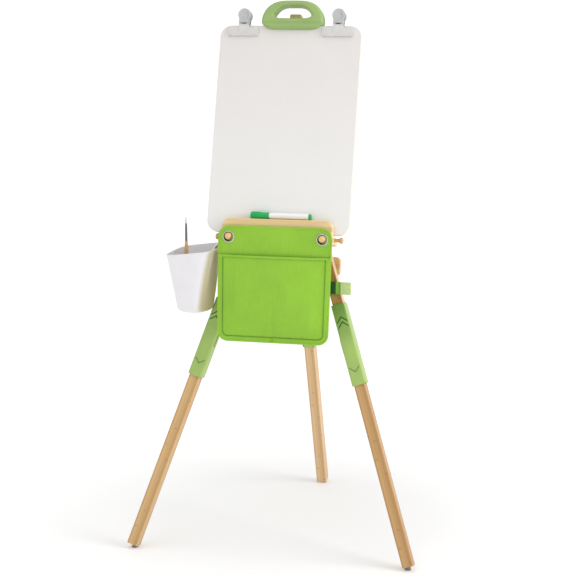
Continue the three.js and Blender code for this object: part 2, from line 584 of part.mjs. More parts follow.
// ---------------------------------------------------------------- cup and brush
const sidePegAt = new THREE.Vector3(-LEDGE.halfWidth, SIDE_PEG.y, SIDE_PEG.z).applyMatrix4(ledgeFrame.matrix);
const cupFrame = newFrame(
  new THREE.Matrix4().makeRotationZ(THREE.MathUtils.degToRad(CUP.yaw)).setPosition(CUP.x, sidePegAt.y, 0),
);

// one level outline of the cup, a rounded square
function cupRing(halfX, halfY, z, segments = 24) {
  const points = [];
  for (let i = 0; i < segments; i += 1) {
    const a = (i / segments) * Math.PI * 2;
    const c = Math.cos(a);
    const s = Math.sin(a);
    const power = c > 0 ? CUP.flatPower : CUP.roundPower;
    const k = 1 / (Math.abs(c) ** power + Math.abs(s) ** power) ** (1 / power);
    points.push([c * k * halfX, s * k * halfY, z]);
  }
  return points;
}

// a closed loft through rings of [x, y, z] points
function loft(rings) {
  const n = rings[0].length;
  const position = rings.flat(2);
  const index = [];
  for (let r = 0; r < rings.length - 1; r += 1) {
    for (let i = 0; i < n; i += 1) {
      const a = r * n + i;
      const b = r * n + ((i + 1) % n);
      index.push(a, b, b + n, a, b + n, a + n);
    }
  }
  for (let i = 1; i < n - 1; i += 1) {
    index.push(0, i + 1, i);
    const top = (rings.length - 1) * n;
    index.push(top, top + i, top + i + 1);
  }
  const g = new THREE.BufferGeometry();
  g.setAttribute('position', new THREE.Float32BufferAttribute(position, 3));
  g.setIndex(index);
  g.computeVertexNormals();
  return g;
}

function buildCup() {
  const c = CUP;
  const body = (inset, bottom) => loft([0, 1.05].map((t) => {
    const halfX = c.baseX + (c.rimX - c.baseX) * t - inset;
    const halfY = c.baseY + (c.rimY - c.baseY) * t - inset;
    return cupRing(halfX, halfY, bottom + (c.top - bottom) * t);
  }));
  const inside = body(c.wall, c.bottom + c.wall);
  // everything above the tipped rim, as a block sheared to its slope
  const above = block(-90, 90, -90, 90, 0, 60).applyMatrix4(new THREE.Matrix4().set(
    1, 0, 0, 0,
    0, 1, 0, 0,
    c.slopeX, c.slopeY, 1, c.top - c.slopeX * c.rimX,
    0, 0, 0, 1,
  ));
  const shell = cut(body(0, c.bottom), inside, above);

  // the hook: a web that leans from the flat wall to an upright tab with a hole for the peg
  const h = HOOK;
  const pegHere = sidePegAt.clone().applyMatrix4(cupFrame.matrix.clone().invert());
  const side = new THREE.Shape();
  side.moveTo(c.rimX - 3.8, h.bottom);
  side.lineTo(c.rimX - 1.5, h.bottom);
  side.lineTo(c.rimX + 0.3, c.top - 2.3);
  side.lineTo(h.x + h.thickness / 2, c.top + 10.7);
  side.lineTo(h.x + h.thickness / 2, h.top);
  side.lineTo(h.x - h.thickness / 2, h.top);
  side.lineTo(h.x - h.thickness / 2, c.top + 12);
  side.lineTo(c.rimX - 2.4, c.top);
  side.closePath();
  const web = panel(side, -70, 70, 2);
  const outline = new THREE.Shape();
  outline.moveTo(-h.root, h.bottom);
  outline.lineTo(h.root, h.bottom);
  outline.lineTo(h.root, c.top - 1);
  const neck = sidePegAt.z - 1;
  outline.bezierCurveTo(h.root - 14, c.top, h.half + 4, neck - 10, h.half, neck);
  outline.bezierCurveTo(h.half, h.top - 2, h.half - 5, h.top, 0, h.top);
  outline.bezierCurveTo(-h.half + 5, h.top, -h.half, h.top - 2, -h.half, neck);
  outline.bezierCurveTo(-h.half - 4, neck - 10, -h.root + 14, c.top, -h.root, c.top - 1);
  const faceOn = panel(outline, -90, 90, 6).rotateZ(Math.PI / 2).translate(0, pegHere.y, 0);
  const hole = rod([h.x - 9, pegHere.y, sidePegAt.z], [h.x + 9, pegHere.y, sidePegAt.z], h.hole, 20);
  add(cupFrame, 'cup', join(shell, cut(common(web, faceOn), hole, inside)), WHITE);
}
buildCup();

// a paint brush that stands in the cup and leans a little forward
function buildBrush() {
  const b = BRUSH;
  const foot = new THREE.Vector3(...BRUSH_FOOT);
  const rise = Math.sqrt(b.length ** 2 - BRUSH_LEAN[0] ** 2 - BRUSH_LEAN[1] ** 2);
  const tip = foot.clone().add(new THREE.Vector3(...BRUSH_LEAN, rise));
  const along = tip.clone().sub(foot).normalize();
  const at = (d) => foot.clone().addScaledVector(along, d).toArray();
  const handle = [[0, 0], [1.6, 0.6], [2.4, 6], [b.handle, 80], [b.handle, 126]];
  handle.push([b.ferrule + 0.4, b.handleEnd], [0, b.handleEnd]);
  add(worldFrame, 'brush_handle', turned(handle, at(0), along, 14), BAMBOO);
  const long = b.ferruleEnd - b.handleEnd - GAP;
  const ferrule = [[0, 0], [b.ferrule, 0], [b.ferrule * 0.85, long], [0, long]];
  add(worldFrame, 'brush_ferrule', turned(ferrule, at(b.handleEnd + GAP), along, 14), STEEL);
  const tipLength = b.length - b.ferruleEnd;
  const bristles = [[0, 0], [b.ferrule * 0.8, 0], [b.tip, tipLength * 0.35]];
  bristles.push([0.3, tipLength], [0, tipLength]);
  add(worldFrame, 'brush_bristles', turned(bristles, at(b.ferruleEnd + GAP), along, 14), WHITE);
}
buildBrush();

// ---------------------------------------------------------------- marker
function buildMarker() {
  const m = MARKER;
  const cap = CAP;
  const place = (x) => [x, -cap.bigRadius - GAP, LEDGE.top + GAP + cap.bigRadius];
  const shell = [[0, 0], [cap.bigRadius - 0.8, 0], [cap.bigRadius, 0.8], [cap.bigRadius, cap.step]];
  shell.push([cap.smallRadius, cap.step + 0.2], [cap.smallRadius, cap.length]);
  shell.push([cap.bore, cap.length], [cap.bore, cap.end], [0, cap.end]);
  add(boardFrame, 'marker_cap', turned(shell, place(m.left), right, 16), MARKER_GREEN);

  const body = [[0, -NIB.length], [NIB.tipRadius, -NIB.length], [NIB.shoulderRadius, -NIB.shoulder]];
  const barrelLength = m.length - cap.length - 8;
  body.push([NIB.neckRadius, -NIB.neck], [NIB.neckRadius, 0], [m.barrel, 0.2]);
  body.push([m.barrel, barrelLength], [0, barrelLength]);
  const barrelStart = m.left + cap.length + GAP;
  add(boardFrame, 'marker_barrel', turned(body, place(barrelStart), right, 16), WHITE);

  const plug = [[0, 0], [m.plug, 0], [m.plug, 3.4], [m.plug - 1.7, m.plugLength], [0, m.plugLength]];
  const plugAt = place(barrelStart + barrelLength + GAP);
  add(boardFrame, 'marker_end_plug', turned(plug, plugAt, right, 16), MARKER_GREEN);
}
buildMarker();

// ---------------------------------------------------------------- origin under the middle of the footprint
easel.updateMatrixWorld(true);
const footprint = new THREE.Box3().setFromObject(easel, true);
const centre = footprint.getCenter(new THREE.Vector3());
easel.position.set(-centre.x, -centre.y, -footprint.min.z);

export default easel;
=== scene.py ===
# Detailed visual model of a folding kids easel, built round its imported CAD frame. Metres, +Z up.
import json
import math
import random

import bmesh
import bpy
from mathutils import Matrix, Vector, noise


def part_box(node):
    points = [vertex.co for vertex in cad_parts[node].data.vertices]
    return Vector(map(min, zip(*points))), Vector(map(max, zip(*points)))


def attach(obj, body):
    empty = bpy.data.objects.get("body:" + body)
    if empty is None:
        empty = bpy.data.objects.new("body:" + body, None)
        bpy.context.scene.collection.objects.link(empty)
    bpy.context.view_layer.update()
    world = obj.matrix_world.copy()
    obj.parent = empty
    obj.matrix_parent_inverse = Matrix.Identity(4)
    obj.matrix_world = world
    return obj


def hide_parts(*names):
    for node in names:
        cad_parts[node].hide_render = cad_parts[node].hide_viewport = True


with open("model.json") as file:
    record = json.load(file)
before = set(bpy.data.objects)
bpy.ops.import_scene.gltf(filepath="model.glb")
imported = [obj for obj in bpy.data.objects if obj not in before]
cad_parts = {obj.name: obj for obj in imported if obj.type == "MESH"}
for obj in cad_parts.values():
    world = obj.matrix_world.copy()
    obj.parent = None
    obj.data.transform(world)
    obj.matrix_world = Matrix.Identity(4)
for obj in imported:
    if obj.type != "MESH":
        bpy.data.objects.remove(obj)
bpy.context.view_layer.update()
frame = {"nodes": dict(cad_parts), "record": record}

scene = bpy.context.scene
random.seed(7)
TURN = 2 * math.pi

# ---------------------------------------------------------------- camera, floor and light
def build_stage():
    data = bpy.data.cameras.new("camera")
    data.lens = 97.06
    data.sensor_width = 36
    data.clip_end = 9000
    camera = bpy.data.objects.new("camera", data)
    camera.location = (0.7607, -3.3018, 1.1647)
    camera.rotation_euler = (math.radians(79.42), 0, math.radians(13.34))
    scene.collection.objects.link(camera)
    bpy.context.scene.camera = camera

    half = 4000
    mesh = bpy.data.meshes.new("floor")
    mesh.from_pydata([(-half, -half, 0), (half, -half, 0), (half, half, 0), (-half, half, 0)], [], [(0, 1, 2, 3)])
    floor = bpy.data.objects.new("floor", mesh)
    scene.collection.objects.link(floor)
    pale = bpy.data.materials.new("pale_floor")
    pale.use_nodes = True
    tree = pale.node_tree
    shader = tree.nodes["Principled BSDF"]
    shader.inputs["Base Color"].default_value = (0.82, 0.82, 0.82, 1)
    shader.inputs["Roughness"].default_value = 0.7
    # painted light: the floor glows, weakly near the easel and more with distance, so that far off it reads as a white
    # backdrop
    place = tree.nodes.new("ShaderNodeNewGeometry")
    length = tree.nodes.new("ShaderNodeVectorMath")
    length.operation = "LENGTH"
    tree.links.new(place.outputs["Position"], length.inputs[0])
    total = tree.nodes.new("ShaderNodeMath")
    ramps = (((0.30, 0.75), (0.16, 0.33)), ((0.80, 3.5), (0.0, 0.20)))
    for i, (distance, strength) in enumerate(ramps):
        glow = tree.nodes.new("ShaderNodeMapRange")
        for key, value in zip(("From Min", "From Max", "To Min", "To Max"), (*distance, *strength)):
            glow.inputs[key].default_value = value
        tree.links.new(length.outputs["Value"], glow.inputs["Value"])
        tree.links.new(glow.outputs["Result"], total.inputs[i])
    tree.links.new(total.outputs[0], shader.inputs["Emission Strength"])
    shader.inputs["Emission Color"].default_value = (1, 1, 1, 1)
    mesh.materials.append(pale)

    world = bpy.data.worlds.new("studio")
    world.use_nodes = True
    world.node_tree.nodes["Background"].inputs["Color"].default_value = (1, 1, 1, 1)
    world.node_tree.nodes["Background"].inputs["Strength"].default_value = 0.70
    scene.world = world

    def softbox(name, location, target, size, energy):
        light = bpy.data.lights.new(name, "AREA")
        light.shape = "RECTANGLE"
        light.size, light.size_y = size
        light.energy = energy
        lamp = bpy.data.objects.new(name, light)
        lamp.location = location
        lamp.rotation_euler = (Vector(target) - Vector(location)).to_track_quat("-Z", "Y").to_euler()
        scene.collection.objects.link(lamp)

    softbox("key_right", (2.6, -0.6, 1.9), (0, 0, 0.7), (1.6, 2.0), 42)
    softbox("top", (-0.6, -0.8, 3.2), (0, 0, 0.5), (2.2, 2.2), 14)
    scene.view_settings.view_transform = "Standard"
    scene.view_settings.look = "None"


build_stage()

# ---------------------------------------------------------------- places, read from the frame
LEAN = math.radians(16.8)
SHEET = 0.0017
LEDGE_SHIFT = 0.004
FOOT_X = 0.302
BOARD_Y = 0.079
REAR_FOOT_Y = 0.552
sheet_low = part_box("whiteboard_sheet")[0]
BOARD = Matrix.Translation((0, sheet_low[1], sheet_low[2] + SHEET * math.sin(LEAN))) @ Matrix.Rotation(-LEAN, 4, "X")
LEDGE = BOARD @ Matrix.Translation((LEDGE_SHIFT, 0, 0))
WORLD = Matrix.Identity(4)
GROUND_Y = sheet_low[1] - BOARD_Y
JOINT = {j["name"]: j for j in frame["record"]["behaviour"]["joints"]}
BODY = {n: b for b, nodes in frame["record"]["behaviour"]["bodies"].items() for n in nodes}
FORWARD = Vector((0, -math.cos(LEAN), math.sin(LEAN)))
RIGHT = Vector((1, 0, 0))


def leg_frame(name, foot):
    up = Vector(JOINT[f"lower_leg_{name}_slide"]["axis"]).normalized()
    across = (RIGHT - up * up.x).normalized()
    return Matrix.Translation(foot) @ Matrix((across, up.cross(across), up)).transposed().to_4x4()


LEG = {
    "left": leg_frame("left", (-FOOT_X, GROUND_Y, 0)),
    "right": leg_frame("right", (FOOT_X, GROUND_Y, 0)),
    "rear": leg_frame("rear", (0, GROUND_Y + REAR_FOOT_Y, 0)),
}
A_FRAME = Matrix.Translation((0, GROUND_Y, 0)) @ Matrix.Rotation(-math.atan2(0.194, 0.857), 4, "X")


def span(node, matrix):
    inverse = matrix.inverted()
    points = [inverse @ v.co for v in frame["nodes"][node].data.vertices]
    low = Vector([min(p[i] for p in points) for i in range(3)])
    return low, Vector([max(p[i] for p in points) for i in range(3)])


# first point and length of a turned node along a direction
def axis_of(node, direction):
    d = Vector(direction).normalized()
    points = [v.co.copy() for v in frame["nodes"][node].data.vertices]
    middle = sum(points, Vector()) / len(points)
    along = [(p - middle).dot(d) for p in points]
    return middle + d * min(along), max(along) - min(along)


def aim(point, direction):
    return Matrix.Translation(point) @ Vector(direction).to_track_quat("Z", "Y").to_matrix().to_4x4()


# ---------------------------------------------------------------- materials
class Paint:
    """A material under construction; GRAIN is the piece's own place in metres, kept on its vertices."""

    def __init__(self, name, roughness, **values):
        self.material = bpy.data.materials.new(name)
        self.material.use_nodes = True
        self.tree = self.material.node_tree
        self.shader = self.tree.nodes["Principled BSDF"]
        self.shader.inputs["Roughness"].default_value = roughness
        for key, value in values.items():
            self.shader.inputs[key.replace("_", " ").title().replace("Ior", "IOR")].default_value = value
        self.grain = self.node("ShaderNodeAttribute", attribute_name="grain").outputs["Vector"]

    def node(self, kind, inputs=(), **settings):
        made = self.tree.nodes.new(kind)
        for key, value in settings.items():
            setattr(made, key, value)
        for key, value in dict(inputs).items():
            if isinstance(value, bpy.types.NodeSocket):
                self.tree.links.new(value, made.inputs[key])
            else:
                made.inputs[key].default_value = value
        return made

    def math(self, operation, a, b=0.0, c=0.0):
        return self.node("ShaderNodeMath", {0: a, 1: b, 2: c}, operation=operation).outputs[0]

    def scaled(self, x, y, z):
        inputs = {0: self.grain, 1: (x, y, z)}
        return self.node("ShaderNodeVectorMath", inputs, operation="MULTIPLY").outputs[0]

    def noise(self, vector, scale=1.0, detail=2.0, roughness=0.5):
        inputs = {"Vector": vector, "Scale": scale, "Detail": detail, "Roughness": roughness}
        return self.node("ShaderNodeTexNoise", inputs).outputs["Fac"]

    def axes(self):
        return self.node("ShaderNodeSeparateXYZ", {0: self.grain}).outputs

    def between(self, value, low, high, a=0.0, b=1.0):
        inputs = {"Value": value, "From Min": low, "From Max": high, "To Min": a, "To Max": b}
        return self.node("ShaderNodeMapRange", inputs).outputs["Result"]

    def mix(self, factor, a, b, blend="MIX"):
        made = self.node("ShaderNodeMix", data_type="RGBA", blend_type=blend)
        for key, value in ((0, factor), (6, a), (7, b)):
            if isinstance(value, bpy.types.NodeSocket):
                self.tree.links.new(value, made.inputs[key])
            else:
                made.inputs[key].default_value = value if key == 0 else (*value, 1)
        return made.outputs[2]

    def finish(self, color, height=None, distance=0.0002, strength=0.5, roughness=None):
        self.tree.links.new(color, self.shader.inputs["Base Color"])
        if roughness is not None:
            self.tree.links.new(roughness, self.shader.inputs["Roughness"])
        if height is not None:
            bump = self.node("ShaderNodeBump", {"Height": height, "Distance": distance, "Strength": strength})
            self.tree.links.new(bump.outputs[0], self.shader.inputs["Normal"])
        return self.material


def bamboo(name, light, dark, strip=0.0062, knots=0.42, side=None):
    p = Paint(name, 0.42, coat_weight=0.12, coat_roughness=0.3)
    x, y, z = p.axes()
    lane = p.math("ADD", p.math("DIVIDE", x, strip), 0.37)
    index = p.math("FLOOR", lane)
    row = p.math("MULTIPLY", p.math("FLOOR", p.math("DIVIDE", y, 0.011)), 7.0)
    tone = p.node("ShaderNodeTexWhiteNoise", {"W": p.math("ADD", index, row)}, noise_dimensions="1D").outputs["Value"]
    fibre = p.noise(p.scaled(1100, 1100, 16), detail=3.0)
    slow = p.noise(p.scaled(90, 90, 7))
    amount = p.math("MULTIPLY_ADD", fibre, 0.42, p.math("MULTIPLY_ADD", tone, 0.42, p.math("MULTIPLY", slow, 0.22)))
    wood = p.mix(p.between(amount, 0.25, 0.85), light, dark)
    # a bamboo knot now and then along each strip
    step = p.math("FRACT", p.math("MULTIPLY_ADD", z, 5.3, p.math("MULTIPLY", tone, 5.0)))
    knot = p.between(p.math("ABSOLUTE", p.math("SUBTRACT", step, 0.5)), 0.0, 0.014, knots, 0.0)
    wood = p.mix(knot, wood, [c * 0.55 for c in dark])
    edge = p.math("ABSOLUTE", p.math("SUBTRACT", p.math("FRACT", lane), 0.5))
    joint = p.between(edge, 0.465, 0.5, 0.0, 0.30)
    wood = p.mix(joint, wood, [c * 0.6 for c in dark])
    # painted highlight: side lays a pale colour on the face at +x, where the key light falls
    if side:
        wood = p.mix(p.between(x, 0.0112, 0.0119, 0.0, 0.6), wood, side)
    height = p.math("SUBTRACT", fibre, p.math("MULTIPLY", joint, 1.5))
    rough = p.between(slow, 0.2, 0.8, 0.36, 0.5)
    return p.finish(wood, height, 0.00012, 0.35, rough)


def moulded(name, color, roughness=0.4, speck=1400, variation=0.06, **values):
    p = Paint(name, roughness, **values)
    fine = p.noise(p.scaled(speck, speck, speck), detail=1.0)
    slow = p.noise(p.scaled(26, 26, 26), detail=3.0)
    low = [c * (1 - variation) for c in color]
    high = [min(1.0, c * (1 + variation)) for c in color]
    rough = p.between(slow, 0.3, 0.7, roughness - 0.05, roughness + 0.06)
    return p.finish(p.mix(p.between(slow, 0.3, 0.7), low, high), fine, 0.00006, 0.3, rough)


# green plastic with painted shade: its front face is darker towards its upper end, where the pouch's shadow falls
def shaded_green(name, top, depth):
    p = Paint(name, 0.38)
    x, y, z = p.axes()
    slow = p.noise(p.scaled(26, 26, 26), detail=3.0)
    plain = p.mix(p.between(slow, 0.3, 0.7), (0.335, 0.482, 0.123), (0.375, 0.538, 0.137))
    dark = p.mix(p.between(slow, 0.3, 0.7), (0.135, 0.295, 0.047), (0.160, 0.330, 0.057))
    front = p.between(y, -0.0155, -0.0162)
    color = p.mix(p.math("MULTIPLY", front, p.between(z, top - depth, top)), plain, dark)
    fine = p.noise(p.scaled(1400, 1400, 1400), detail=1.0)
    return p.finish(color, fine, 0.00006, 0.3, p.between(slow, 0.3, 0.7, 0.33, 0.44))


def whiteboard_enamel():
    p = Paint("whiteboard_enamel", 0.2, coat_weight=0.25, coat_roughness=0.12)
    wipe = p.noise(p.scaled(9, 9, 22), detail=4.0, roughness=0.6)
    ghost = p.noise(p.scaled(60, 60, 24), detail=2.0)
    amount = p.math("MULTIPLY_ADD", wipe, 0.7, p.math("MULTIPLY", ghost, 0.3))
    x, y, z = p.axes()
    # painted shade: the enamel is darker and warmer towards the board's top
    low = p.mix(p.between(amount, 0.35, 0.65), (0.824, 0.815, 0.794), (0.840, 0.831, 0.810))
    high = p.mix(p.between(amount, 0.35, 0.65), (0.722, 0.692, 0.674), (0.738, 0.708, 0.690))
    color = p.mix(p.between(z, 0.02, 0.42), low, high)
    peel = p.noise(p.scaled(260, 260, 260), detail=1.0)
    return p.finish(color, peel, 0.00004, 0.25, p.between(wipe, 0.3, 0.7, 0.17, 0.27))


def frosted_clip():
    p = Paint("frosted_clip", 0.3, transmission_weight=0.35, ior=1.46)
    x, y, z = p.axes()
    cloud = p.noise(p.scaled(60, 60, 60), detail=3.0)
    jaw = p.mix(p.between(cloud, 0.3, 0.7), (0.84, 0.83, 0.81), (0.90, 0.89, 0.87))
    tab = p.mix(p.between(cloud, 0.3, 0.7), (0.60, 0.61, 0.60), (0.68, 0.69, 0.68))
    fine = p.noise(p.scaled(700, 700, 700), detail=1.0)
    return p.finish(p.mix(p.between(z, 0.441, 0.449), jaw, tab), fine, 0.00006, 0.3, p.between(cloud, 0.3, 0.7, 0.26, 0.36))


# white plastic with painted shade and a painted reflection of the pouch and the leg: its flat wall, which faces them,
# is a warm olive
def cup_plastic():
    p = Paint("white_plastic", 0.36, coat_weight=0.1)
    x, y, z = p.axes()
    slow = p.noise(p.scaled(26, 26, 26), detail=3.0)
    plain = p.mix(p.between(slow, 0.3, 0.7), (0.815, 0.80, 0.82), (0.845, 0.83, 0.85))
    flat = p.node("ShaderNodeAttribute", attribute_name="shade").outputs["Fac"]
    shade = p.mix(p.between(z, 0.52, 0.66), (0.42, 0.345, 0.10), (0.42, 0.385, 0.23))
    color = p.mix(p.math("MULTIPLY", flat, 0.85), plain, shade)
    fine = p.noise(p.scaled(1100, 1100, 1100), detail=1.0)
    return p.finish(color, fine, 0.00005, 0.3, p.between(slow, 0.3, 0.7, 0.31, 0.42))


def canvas(name, color, thread=0.0008, deep=0.72, sheen=0.25):
    p = Paint(name, 0.88, sheen_weight=sheen, sheen_roughness=0.5)
    x, y, z = p.axes()
    wander = p.math("MULTIPLY", p.noise(p.scaled(70, 70, 70)), 2.2)
    u = p.math("SINE", p.math("MULTIPLY_ADD", x, TURN / thread, wander))
    v = p.math("SINE", p.math("MULTIPLY_ADD", z, TURN / thread, wander))
    weave = p.math("MULTIPLY_ADD", p.math("MULTIPLY", u, v), 0.5, 0.5)
    slub = p.noise(p.scaled(420, 420, 60), detail=2.0)
    slow = p.noise(p.scaled(11, 11, 11), detail=3.0)
    shade = p.math("MULTIPLY_ADD", slow, 0.5, p.math("MULTIPLY_ADD", slub, 0.25, p.math("MULTIPLY", weave, 0.22)))
    low = [c * deep for c in color]
    high = [min(1.0, c * 1.12) for c in color]
    cloth = p.mix(p.between(shade, 0.25, 0.72), low, high)
    return p.finish(cloth, p.math("MULTIPLY_ADD", slub, 0.5, weave), 0.00018, 0.55)


def fuzzy_loop(name, color):
    p = Paint(name, 0.95, sheen_weight=0.7, sheen_roughness=0.6)
    fuzz = p.noise(p.scaled(700, 700, 700), detail=4.0, roughness=0.7)
    clump = p.noise(p.scaled(190, 190, 190), detail=2.0)
    shade = p.math("MULTIPLY_ADD", fuzz, 0.6, p.math("MULTIPLY", clump, 0.4))
    return p.finish(p.mix(p.between(shade, 0.3, 0.68), [c * 0.7 for c in color], color), shade, 0.0009, 0.8)


def metal(name, color, roughness=0.26, streak=(900, 900, 40)):
    p = Paint(name, roughness, metallic=1.0)
    brushed = p.noise(p.scaled(*streak), detail=3.0)
    tint = p.mix(p.between(brushed, 0.3, 0.7), [c * 0.86 for c in color], color)
    return p.finish(tint, brushed, 0.00003, 0.3, p.between(brushed, 0.3, 0.7, roughness - 0.06, roughness + 0.1))


def bristle_hair():
    p = Paint("bristle_hair", 0.6, sheen_weight=0.3)
    x, y, z = p.axes()
    hair = p.noise(p.scaled(5200, 5200, 60), detail=2.0)
    color = p.mix(p.between(hair, 0.3, 0.7), (0.60, 0.58, 0.54), (0.88, 0.87, 0.84))
    return p.finish(color, hair, 0.0003, 0.8)


BAMBOO = bamboo("bamboo_strips", (0.79, 0.54, 0.285), (0.56, 0.335, 0.150))
# painted shade: bamboo_left and bamboo_right are darker copies of the leg bamboo, for the left and right legs
BAMBOO_LEFT = bamboo("bamboo_left", (0.70, 0.455, 0.205), (0.49, 0.275, 0.100))
BAMBOO_RIGHT = bamboo("bamboo_right", (0.595, 0.360, 0.145), (0.41, 0.215, 0.072))
# painted shade and highlight: a darker bamboo for the upper right leg's front, in the pouch's shade, with a pale right
# face where the light falls
BAMBOO_SHADE_AND_HIGHLIGHT = bamboo("bamboo_painted_shade_and_highlight", (0.56, 0.310, 0.105), (0.375, 0.180, 0.050), side=(0.90, 0.72, 0.48))
BAMBOO_TRAY = bamboo("bamboo_tray", (0.92, 0.70, 0.37), (0.72, 0.48, 0.21), strip=0.0085, knots=0.0)
BAMBOO_PALE = bamboo("bamboo_pale", (0.82, 0.77, 0.67), (0.75, 0.68, 0.55), strip=0.009, knots=0.15)
PEG_WOOD = bamboo("peg_wood", (0.88, 0.62, 0.28), (0.66, 0.40, 0.15), strip=0.02, knots=0.0)
GREEN = moulded("green_plastic", (0.355, 0.510, 0.130), 0.38)
GREEN_SHADED = shaded_green("shaded_green", span("sleeve_right", LEG["right"])[1].z, 0.085)
# painted shade: the handle takes a darker copy of the green plastic
HANDLE_SHADED_GREEN = moulded("handle_shaded_green", (0.283, 0.413, 0.134), 0.42)
# painted shade: a dark green for the insides of the engraved chevrons
GROOVE_SHADE_GREEN = moulded("green_groove_shade", (0.030, 0.105, 0.018), 0.6)
ENAMEL = whiteboard_enamel()
CANVAS = canvas("green_canvas", (0.293, 0.575, 0.036), deep=0.80)
WEBBING = canvas("green_webbing", (0.300, 0.600, 0.075), 0.0014)
# partly painted shade: the very dark webbing of the strap's run back to the leg
WEBBING_DARK = canvas("dark_webbing", (0.012, 0.105, 0.012), 0.0014)
FUZZ = fuzzy_loop("fuzzy_loop", (0.72, 0.90, 0.38))
THREAD = canvas("thread", (0.10, 0.25, 0.02), 0.0003, 0.8, 0.1)
STEEL = metal("plated_steel", (0.70, 0.70, 0.69))
EYELET = metal("eyelet_steel", (0.60, 0.60, 0.55), 0.3)
# painted shade: near-black metal for the inside of the eyelets
THROAT_SHADE = metal("eyelet_throat_shade", (0.09, 0.10, 0.05), 0.5)
DARK_STEEL = metal("spring_steel", (0.16, 0.16, 0.17), 0.35)
CLIP = frosted_clip()
CUP = cup_plastic()
MARKER_GREEN = moulded("marker_green", (0.012, 0.42, 0.105), 0.34, 900, 0.07, specular_ior_level=0.3)
MARKER_WHITE = moulded("marker_white", (0.86, 0.86, 0.85), 0.22, 900, 0.02, coat_weight=0.3)
FERRULE = metal("ferrule", (0.19, 0.175, 0.17), 0.34, (3000, 3000, 30))
BRUSH_WOOD = bamboo("brush_wood", (0.72, 0.46, 0.22), (0.50, 0.28, 0.11), strip=0.02, knots=0.0)
BRISTLE = bristle_hair()
GLIDE = moulded("grey_glide", (0.20, 0.205, 0.20), 0.7, 700, 0.1)


# ---------------------------------------------------------------- mesh helpers
def new_object(name, verts, faces):
    mesh = bpy.data.meshes.new(name)
    mesh.from_pydata([tuple(v) for v in verts], [], faces)
    obj = bpy.data.objects.new(name, mesh)
    scene.collection.objects.link(obj)
    bm = bmesh.new()
    bm.from_mesh(mesh)
    bmesh.ops.recalc_face_normals(bm, faces=bm.faces)
    bm.to_mesh(mesh)
    bm.free()
    return obj


def apply_all(obj):
    depsgraph = bpy.context.evaluated_depsgraph_get()
    mesh = bpy.data.meshes.new_from_object(obj.evaluated_get(depsgraph), depsgraph=depsgraph)
    old = obj.data
    obj.modifiers.clear()
    obj.data = mesh
    bpy.data.meshes.remove(old)
    return obj


def carve(obj, *cutters, operation="DIFFERENCE"):
    for cutter in cutters:
        modifier = obj.modifiers.new("carve", "BOOLEAN")
        modifier.operation = operation
        modifier.solver = "EXACT"
        modifier.object = cutter
    apply_all(obj)
    for cutter in cutters:
        bpy.data.objects.remove(cutter)
    return obj


# rounded edges; settle later gives the flat faces between them even shading
def soften(obj, width, segments=3, angle=38):
    bevel = obj.modifiers.new("edges", "BEVEL")
    bevel.width = width
    bevel.segments = segments
    bevel.limit_method = "ANGLE"
    bevel.angle_limit = math.radians(angle)
    bevel.use_clamp_overlap = True
    bevel.harden_normals = False
    return apply_all(obj)


def join(name, objects):
    meshes = bmesh.new()
    for obj in objects:
        meshes.from_mesh(obj.data)
        bpy.data.objects.remove(obj)
    mesh = bpy.data.meshes.new(name)
    meshes.to_mesh(mesh)
    meshes.free()
    joined = bpy.data.objects.new(name, mesh)
    scene.collection.objects.link(joined)
    return joined


def move(obj, matrix):
    obj.data.transform(matrix)
    return obj


# the piece's own coordinates go on its vertices as its grain, then it moves to its place and rides
def settle(obj, matrix, node, *paints, along="Z", smooth=38):
    mesh = obj.data
    order = {"Z": (0, 1, 2), "X": (2, 1, 0), "Y": (0, 2, 1)}[along]
    grain = mesh.attributes.new("grain", "FLOAT_VECTOR", "POINT")
    for i, v in enumerate(mesh.vertices):
        grain.data[i].vector = [v.co[k] for k in order]
    mesh.shade_smooth()
    mesh.set_sharp_from_angle(angle=math.radians(smooth))
    for paint in paints:
        if paint.name not in mesh.materials:
            mesh.materials.append(paint)
    weighted = obj.modifiers.new("shading", "WEIGHTED_NORMAL")
    weighted.keep_sharp = True
    mesh.transform(matrix)
    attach(obj, BODY[node])
    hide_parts(node)
    return obj


def arc(cx, cz, radius, start, end, steps=8):
    angles = [math.radians(start + (end - start) * i / steps) for i in range(steps + 1)]
    return [(cx + radius * math.cos(a), cz + radius * math.sin(a)) for a in angles]


def rounded(x0, x1, z0, z1, low, high=None, steps=8):
    high = low if high is None else high
    points = arc(x0 + low, z0 + low, low, 180, 270, steps) + arc(x1 - low, z0 + low, low, 270, 360, steps)
    return points + arc(x1 - high, z1 - high, high, 0, 90, steps) + arc(x0 + high, z1 - high, high, 90, 180, steps)


# an outline pushed from a to b along one axis
def prism(name, outline, a, b, axis="Y"):
    place = {"Y": lambda u, v, t: (u, t, v), "Z": lambda u, v, t: (u, v, t), "X": lambda u, v, t: (t, u, v)}[axis]
    n = len(outline)
    verts = [place(u, v, a) for u, v in outline] + [place(u, v, b) for u, v in outline]
    faces = [list(range(n)), list(range(2 * n - 1, n - 1, -1))]
    faces += [(i, i + n, (i + 1) % n + n, (i + 1) % n) for i in range(n)]
    return new_object(name, verts, faces)


def rod(name, radius, a, b, at=(0, 0), axis="Y", sides=40):
    return prism(name, arc(*at, radius, 0, 360 - 360 / sides, sides - 1), a, b, axis)


